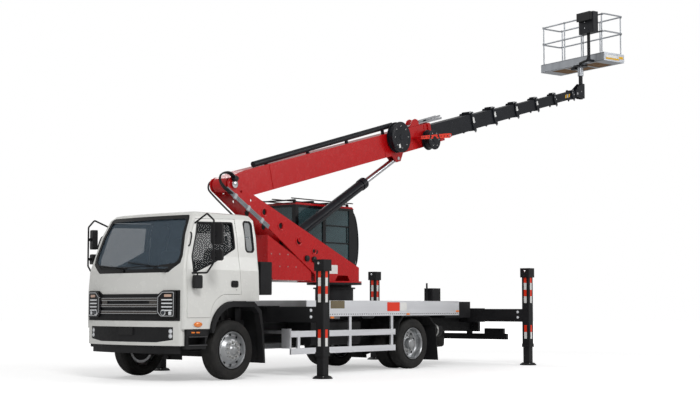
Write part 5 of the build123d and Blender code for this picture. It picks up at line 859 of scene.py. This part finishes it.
def pad(centre, u, v, wide, deep, thick, radius=0.07):
    """A rounded outline whose sides pull in between its corners, swollen at mid height, flat below and crowned above,
    with two sewn channels across u."""
    outline = rounded(wide, deep, radius, 8)
    turn_at = np.arctan2(outline[:, 1] / deep, outline[:, 0] / wide)
    outline = outline * (1 - 0.035 * np.cos(2 * turn_at) ** 2)[:, None]
    u, v = unit(u), unit(v)
    w = np.cross(u, v)
    rows = []
    for scale, height in ((0.02, 0.0), (0.90, 0.0), (0.97, 0.12), (1.0, 0.35), (1.0, 0.55), (0.965, 0.74),
        (0.90, 0.85), (0.80, 0.91), (0.66, 0.95), (0.50, 0.98), (0.34, 0.995), (0.18, 1.0), (0.02, 1.0)):
        o = outline * scale
        dip = 0.10 * sum(np.exp(-((o[:, 0] - c * wide) / 0.014) ** 2) for c in (-0.24, 0.24)) * (height > 0.8)
        rows.append(np.asarray(centre) + o[:, :1] * u + o[:, 1:] * v + ((height - dip) * thick)[:, None] * w)
    return skin(rows)


FLOOR = box("cab_interior")[0][2]
for side_name, side in SIDES:
    y = side * 0.48
    lean = unit((0.13, 0, 0.60))
    seat = [pad(P(-0.095, y, FLOOR + 0.176), Y, (-0.46, 0, 0.03), 0.47, 0.45, 0.075),
        pad(P(0.197, y, FLOOR + 0.460), NEAR, lean, 0.46, 0.58, 0.070),
        pad(P(0.296, y, FLOOR + 0.850), NEAR, Z, 0.24, 0.18, 0.045, 0.05)]
    piece(f"cab_cushions_{side_name}", seat, seat_cloth, "chassis", 60)
OP_FLOOR = OP_LOW[2]
seat = [pad(P(3.690, OP_Y, OP_FLOOR + 0.472), Y, (-0.42, 0, -0.02), 0.45, 0.42, 0.070),
    pad(P(3.426, OP_Y, OP_FLOOR + 0.770), Y, unit((-0.11, 0, 0.62)), 0.44, 0.58, 0.065)]
piece("operator_cushions", seat, seat_cloth, "tower", 60)

# Boom: reels, rods, bracket, collars, tags
reel_bolts = []
for d, lift, count, r in ((4.410, 0.100, 8, 0.20), (5.370, -0.100, 6, 0.13)):
    hub = along(d, lift, -0.15 - 0.0303 - (0.12 if d < 5 else 0.16))
    piece(f"reel_face_{int(d)}", [lathe([(0.001, -0.01), (r + 0.055, -0.01), (r + 0.055, 0.002),
            (r + 0.030, 0.006), (r - 0.02, 0.004),
            (0.06, 0.004), (0.055, 0.014), (0.001, 0.014)], hub, NEAR, 64)], boom_paint, "boom_base", 50)
    reel_bolts += [bolt(p, NEAR, 0.008, 0.006) for p in around(hub, NEAR, r, count, 0.004, 0.4)]
piece("reel_bolts", reel_bolts, bolt_metal, "boom_base")
piece("reel_tag", plank(rounded(0.05, 0.07, 0.006), along(4.31, -0.05, -0.3065), BOOM_DIR, BOOM_UP, 0.001),
    tag_white, "boom_base")
rods = [tube(np.linspace(along(4.9, 0.236, y), along(6.02, 0.236, y), 8), 0.020, 12, Y)
    for y in (-0.105, -0.05)]
rods += [tube(np.linspace(along(5.3, 0.270, y), along(6.02, 0.282, y), 8), 0.016, 12, Y)
    for y in (-0.08, 0.02)]
piece("boom_rods", rods, rod_metal, "boom_base")
lug = [(-0.13, 0.0), (0.16, 0.0), (0.13, 0.11), (0.06, 0.135), (-0.01, 0.12), (-0.09, 0.04)]
piece("boom_bracket", [plank(lug, along(5.06, 0.2115, -0.148), BOOM_DIR, BOOM_UP, -0.03, 0.004),
        plank(lug, along(5.06, 0.2115, -0.02), BOOM_DIR, BOOM_UP, -0.03, 0.004)], tower_paint, "boom_base")
end_frame = [brick(along(5.50, 0.0, y), (0.085, 0.40, 0.024), BOOM_DIR, BOOM_UP, 0.005)
    for y in (-0.162, 0.162)]
piece("boom_end_frame", end_frame, tower_paint, "boom_base")
bars = [plank([(0, -0.028), (0.93, -0.150), (0.985, -0.125), (0.985, -0.075), (0.93, -0.060), (0, 0.034)],
        along(4.95, 0.0, -0.345), BOOM_DIR, BOOM_UP, -0.012, 0.002)]
piece("reel_stay", bars, mark_red, "boom_base")
# Painted shade: a row of flat dark discs on the stay stands for its holes.
stay_shade_dots = [lathe([(0.001, 0), (0.013, 0), (0.013, 0.0015), (0.001, 0.0015)],
        along(5.06 + 0.105 * k, -0.005 - 0.0135 * k, -0.3452), NEAR, 18) for k in range(8)]
piece("reel_stay_shade_dots", stay_shade_dots, deep_black, "boom_base")
piece("reel_stay_arm", [brick(along(5.90, -0.108, -0.248), (0.10, 0.05, 0.195), BOOM_DIR, BOOM_UP, 0.006),
        brick(along(4.99, 0.0, -0.248), (0.06, 0.05, 0.195), BOOM_DIR, BOOM_UP, 0.006),
        brick(along(5.71, -0.165, -0.172), (0.44, 0.05, 0.014), BOOM_DIR, BOOM_UP, 0.003)],
    tower_paint, "boom_base")
piece("reel_stay_bolts", [bolt(along(5.885, -0.105, -0.3455), NEAR, 0.014, 0.012)], bright, "boom_base")
piece("eye_pin_caps", [lathe([(0.001, 0), (0.034, 0), (0.032, 0.012), (0.001, 0.014)],
        along(*EYE_AT, s * 0.072), (0, s, 0), 28) for s in (-1, 1)], bright, "boom_base")
ribs = [plank(rounded(0.016, 0.40, 0.004), along(d, 0, s * 0.1496), BOOM_DIR, BOOM_UP, s * -0.010, 0.003)
    for d in (0.95, 4.05, 5.35) for s in (-1, 1)]
piece("boom_ribs", ribs, tower_paint, "boom_base")


# Boom sections: where each ends along the boom, and the half height and half width of the first
SECTION_END = np.cumsum([5.550 + 1.580, 0.830, 0.890, 0.870, 0.820, 0.830])
HALF_H, HALF_W, STEP = 0.158, 0.122, 0.014
for i, end in enumerate(SECTION_END):
    body = f"section_{i + 1}"
    h, w = HALF_H - STEP * i, HALF_W - STEP * i
    ear = [(-0.112, h + 0.010), (-0.095, h + 0.030), (-0.030, h + 0.030), (-0.004, h * 0.3),
        (-0.004, -h - 0.030), (-0.030, -h - 0.052),
        (-0.060, -h - 0.052), (-0.085, -h - 0.010), (-0.112, -h * 0.2)]
    sides = [plank(ear, along(end, 0, s * (w + 0.0142)), BOOM_DIR, BOOM_UP, s * -0.012, 0.002)
        for s in (-1, 1)]
    if i < 5:
        sides.append(brick(along(end - 0.058, h + 0.030, 0), (0.075, 0.05, 2 * w * 0.8), BOOM_DIR, BOOM_UP,
                0.006))
    piece(f"collar_{i + 1}", sides, boom_paint, body)
    heads = [bolt(along(end - d, lift, s * (w + 0.0262)), (0, s, 0), 0.010, 0.008)
        for s in (-1, 1) for d, lift in ((0.055, h + 0.012), (0.045, -h - 0.030), (0.075, h * 0.55),
            (0.03, 0.0))]
    piece(f"collar_bolts_{i + 1}", heads, bright, body)
    if i < 5:
        ring = [(0.009, -0.010), (0.019, -0.010), (0.019, 0.010), (0.009, 0.010)]
        links = [lathe(ring, along(end - 0.10 + 0.026 * k, h + 0.030, -0.8 * w - 0.014), Y, 16, loop=True)
            for k in range(4)]
        piece(f"collar_chain_{i + 1}", links, bright, body)
    if i < 4:
        piece(f"collar_tag_{i + 1}", plank(rounded(0.055, 0.75 * h, 0.006),
                along(end - 0.062, 0.25 * h, -w - 0.0262), BOOM_DIR, BOOM_UP, 0.001), tag_white, body)
tip = SECTION_END[-1]
last_side = -(HALF_W - 5 * STEP) - 0.0001  # the marks are thinner than the sliding gap
piece("tip_mark_yellow", [plank([(0, -0.035), (0.055, -0.035), (0.085, 0.035), (0.03, 0.035)],
        along(tip - 0.40 + k, 0, last_side), BOOM_DIR, BOOM_UP, 0.0001)
        for k in (0.0, 0.15)], mark_yellow, "section_6")
piece("tip_mark_grey", plank([(0, -0.035), (0.045, -0.035), (0.075, 0.035), (0.03, 0.035)],
        along(tip - 0.32, 0, last_side), BOOM_DIR, BOOM_UP, 0.0001), clamp_white, "section_6")
piece("head_pins", [lathe([(0.001, 0), (0.030, 0), (0.028, 0.010), (0.001, 0.012)],
        along(tip + 0.150, 0, s * 0.0672), (0, s, 0), 24) for s in (-1, 1)]
    + [bolt(along(tip + 0.35, 0.02, s * 0.0672), (0, s, 0), 0.010, 0.008) for s in (-1, 1)], bright,
    "boom_head")
mast = np.array(joint["basket_swivel"]["pos_m"], float)
head_hose = tube(eased([along(tip + 0.16, 0.085, -0.078), along(tip + 0.26, 0.20, -0.085),
        mast + np.array([-0.13, -0.085, 0.26]), mast + np.array([-0.10, -0.07, 0.40])], 3), 0.012, 10, Y)
piece("head_hose", head_hose, hose_rubber, "boom_head")

# Lift cylinder: gland and pipe on the barrel
BARREL_LONG = 2.230
eye = along(*EYE_AT)
foot = P(FOOT_AT[0], 0, FOOT_AT[1])
lift_run = unit(eye - foot)
gland = foot + lift_run * BARREL_LONG
piece("cylinder_gland", [lathe([(0.056, -0.06), (0.100, -0.06), (0.100, 0.012), (0.090, 0.020),
        (0.056, 0.020)], gland, lift_run, 48, loop=True)], boom_paint, "lift_barrel", 50)
beside = foot + np.array([0, -0.112, 0])
port = [tube(np.linspace(beside + lift_run * 0.35, beside + lift_run * 2.05, 10), 0.012, 10, Y)]
piece("cylinder_pipe", port, boom_paint, "lift_barrel")

# Basket: floor boards, bare plates, toe rims, clamps, and the hood, buttons and arm of the control box
turn = radians(-15.2)
bx = np.array([cos(turn), sin(turn), 0])
by = np.array([-sin(turn), cos(turn), 0])
BASKET_FLOOR = box("basket")[1][2] - 1.020


def in_basket(x, y, z):
    """A place in the basket's own directions, from its post at floor height."""
    return np.array([mast[0], mast[1], BASKET_FLOOR]) + bx * x + by * y + np.array([0, 0, z])


B_LOW, B_HIGH, B_DEEP = 0.275 - 1.005, 0.275 + 1.005, 0.650  # ends along the basket, and its depth
boards = [brick(in_basket(B_DEEP / 2, y, -0.045), (B_DEEP - 0.05, 0.19, 0.022), bx, by, 0.003)
    for y in np.arange(B_LOW + 0.12, B_HIGH - 0.08, 0.205)]
piece("basket_boards", boards, plank_brown, "basket")
right_end = in_basket(B_DEEP / 2, B_LOW - 0.0003, 0.03)
piece("basket_plate_white", plank(rounded(0.34, 0.055, 0.006),
        right_end + bx * -0.08 + np.array([0, 0, 0.018]), bx, Z, 0.0008), tag_white, "basket")
piece("basket_plate_yellow", [plank(rounded(0.42, 0.040, 0.004),
        right_end + bx * -0.06 + np.array([0, 0, -0.035]), bx, Z, 0.0009), plank(rounded(0.14, 0.06, 0.004),
        right_end + bx * 0.22 + np.array([0, 0, 0.012]), bx, Z, 0.0009)], mark_yellow, "basket")
toe = []
for y0, y1, x in ((B_LOW + 0.01, B_HIGH - 0.01, -0.0035), (B_LOW + 0.01, B_HIGH - 0.01, B_DEEP + 0.0035)):
    for z in (-0.045, 0.118):
        toe.append(tube(np.linspace(in_basket(x, y0, z), in_basket(x, y1, z), 4), 0.0045, 8))
piece("basket_toe_rims", toe, toe_grey, "basket")
joints_at = [brick(in_basket(x, y, z), (0.042, 0.042, 0.05), bx, by, 0.008) for x in (0.021, B_DEEP - 0.021)
    for y in (B_LOW + 0.07, B_LOW + 0.66, B_LOW + 1.25, B_HIGH - 0.07) for z in (0.612, 1.0)]
piece("basket_clamps", joints_at, toe_grey, "basket")
panel_mid = in_basket(-0.130, -0.390, 0.815)
panel_face = panel_mid - bx * 0.086 + by * 0.02
stop_button = lathe([(0.001, 0), (0.022, 0), (0.020, 0.022), (0.001, 0.026)],
    panel_face + np.array([0, 0, 0.16]), -bx, 24)
piece("panel_stop", stop_button, mark_red, "basket")
knobs = [lathe([(0.001, 0), (0.013, 0), (0.012, 0.014), (0.001, 0.016)], panel_face + np.array([0, 0, dz]),
        -bx, 20) for dz in (0.02, -0.12)]
piece("panel_knobs", knobs, bright, "basket")
hood = plank([(-0.16, 0.0), (0.0, 0.02), (0.04, 0.12), (-0.10, 0.19), (-0.16, 0.19)],
    in_basket(-0.130, -0.17, 0.855), bx, Z, 0.42, 0.01)
piece("panel_hood", hood, trim, "basket")
arm = tube(eased([in_basket(0.10, 0.10, -0.075), in_basket(-0.06, 0.02, -0.070),
        in_basket(-0.13, -0.20, -0.035), in_basket(-0.131, -0.36, -0.030),
        in_basket(-0.130, -0.390, 0.12), in_basket(-0.130, -0.390, 0.60)], 3), 0.029, 14, (0.3, 0.4, 0.2))
piece("panel_arm", arm, trim, "basket")
turn_gear = [lathe([(0.05, -0.11), (0.150, -0.11), (0.165, -0.098), (0.165, -0.084), (0.05, -0.084)],
        in_basket(0, 0, 0), Z, 48, loop=True),
    brick(in_basket(0.0, 0.19, -0.115), (0.10, 0.16, 0.07), bx, by, 0.01)]
piece("basket_turner", turn_gear, boom_paint, "basket")

# Chassis: tank straps, tail lamps and a bare rear plate
straps = []
for side_name, side in SIDES:
    for x in (5.28, 5.60):
        straps.append(lathe([(0.1205, -0.02), (0.126, -0.02), (0.126, 0.02), (0.1205, 0.02)],
                P(x, side * 0.640, 0.640), X, 48, loop=True))
piece("tank_straps", straps, bolt_metal, "chassis")
gear_high = box("rear_gear")[1]
tail = {"lamp_red": [], "lamp_amber": [], "lamp_clear": []}
for side_name, side in SIDES:
    for dy, key in ((0.13, "lamp_red"), (0.0, "lamp_amber"), (-0.13, "lamp_clear")):
        tail[key].append(brick((gear_high[0] + 0.004, side * (0.90 + dy), 0.600), (0.118, 0.085, 0.012), Y, Z,
                0.004))
for key, mat in (("lamp_red", lamp_red), ("lamp_amber", lamp_amber), ("lamp_clear", lamp_clear)):
    piece(f"tail_{key}", tail[key], mat, "chassis")
piece("rear_plate", brick((gear_high[0] + 0.002, 0, 0.74), (0.34, 0.12, 0.006), Y, Z, 0.002), tag_white,
    "chassis")

# Camera at the photograph's place, with a long lens for a frame 700 wide
CAMERA_AT = Vector((AXLE - 13.622, -14.434, 1.077))
CAMERA_TURN = radians(39.3)
CAMERA_PITCH = radians(4.24)
FOCAL_PX = 1295
camera_data = bpy.data.cameras.new("camera")
camera_data.sensor_width = 36
camera_data.lens = FOCAL_PX / 700 * 36
camera = bpy.data.objects.new("camera", camera_data)
bpy.context.collection.objects.link(camera)
camera.location = CAMERA_AT
look = Vector((cos(CAMERA_TURN) * cos(CAMERA_PITCH), sin(CAMERA_TURN) * cos(CAMERA_PITCH), sin(CAMERA_PITCH)))
camera.rotation_euler = look.to_track_quat("-Z", "Y").to_euler()
bpy.context.scene.camera = camera
bpy.context.scene.view_settings.view_transform = "Standard"

# Floor, light and background
floor_mesh = bpy.data.meshes.new("floor")
floor_mesh.from_pydata([(-60, -60, 0), (60, -60, 0), (60, 60, 0), (-60, 60, 0)], [], [(0, 1, 2, 3)])
floor = bpy.data.objects.new("floor", floor_mesh)
bpy.context.collection.objects.link(floor)
floor_finish = Finish("floor", (0.80, 0.80, 0.80), 0.9, spec=0.1)
path = floor_finish.nodes.new("ShaderNodeLightPath")
reach = floor_finish.nodes.new("ShaderNodeVectorMath")
reach.operation = "LENGTH"
floor_finish.links.new(floor_finish.coords.outputs["Object"], reach.inputs[0])
fade = floor_finish.nodes.new("ShaderNodeMapRange")
fade.interpolation_type = "SMOOTHSTEP"
fade.inputs["From Min"].default_value = 7
fade.inputs["From Max"].default_value = 17
fade.inputs["To Min"].default_value = 0.40
floor_finish.links.new(reach.outputs["Value"], fade.inputs["Value"])
lift = floor_finish.nodes.new("ShaderNodeMath")
lift.operation = "MULTIPLY"
floor_finish.links.new(path.outputs["Is Camera Ray"], lift.inputs[0])
floor_finish.links.new(fade.outputs["Result"], lift.inputs[1])
floor_finish.shader.inputs["Emission Color"].default_value = (1, 1, 1, 1)
floor_finish.links.new(lift.outputs[0], floor_finish.shader.inputs["Emission Strength"])
floor_mesh.materials.append(floor_finish.mat)

world = bpy.data.worlds.new("world")
bpy.context.scene.world = world
world.use_nodes = True
tree = world.node_tree
sky = tree.nodes["Background"]
sky.inputs["Color"].default_value = (1, 1, 1, 1)
rays = tree.nodes.new("ShaderNodeLightPath")
level = tree.nodes.new("ShaderNodeMapRange")
level.inputs["To Min"].default_value = 0.45
tree.links.new(rays.outputs["Is Camera Ray"], level.inputs["Value"])
tree.links.new(level.outputs["Result"], sky.inputs["Strength"])


def softbox(name, place, aim, size, power):
    """A large area lamp that looks at a place."""
    lamp = bpy.data.lights.new(name, "AREA")
    lamp.shape = "DISK"
    lamp.size = size
    lamp.energy = power
    holder = bpy.data.objects.new(name, lamp)
    bpy.context.collection.objects.link(holder)
    holder.location = place
    holder.rotation_euler = (Vector(aim) - Vector(place)).to_track_quat("-Z", "Y").to_euler()


softbox("key", (-16, -16, 17), (-2, 0, 2), 7, 2300)
softbox("fill", (10, -17, 10), (0, 0, 3), 8, 800)
softbox("back", (4, 17, 15), (0, 0, 3), 8, 900)
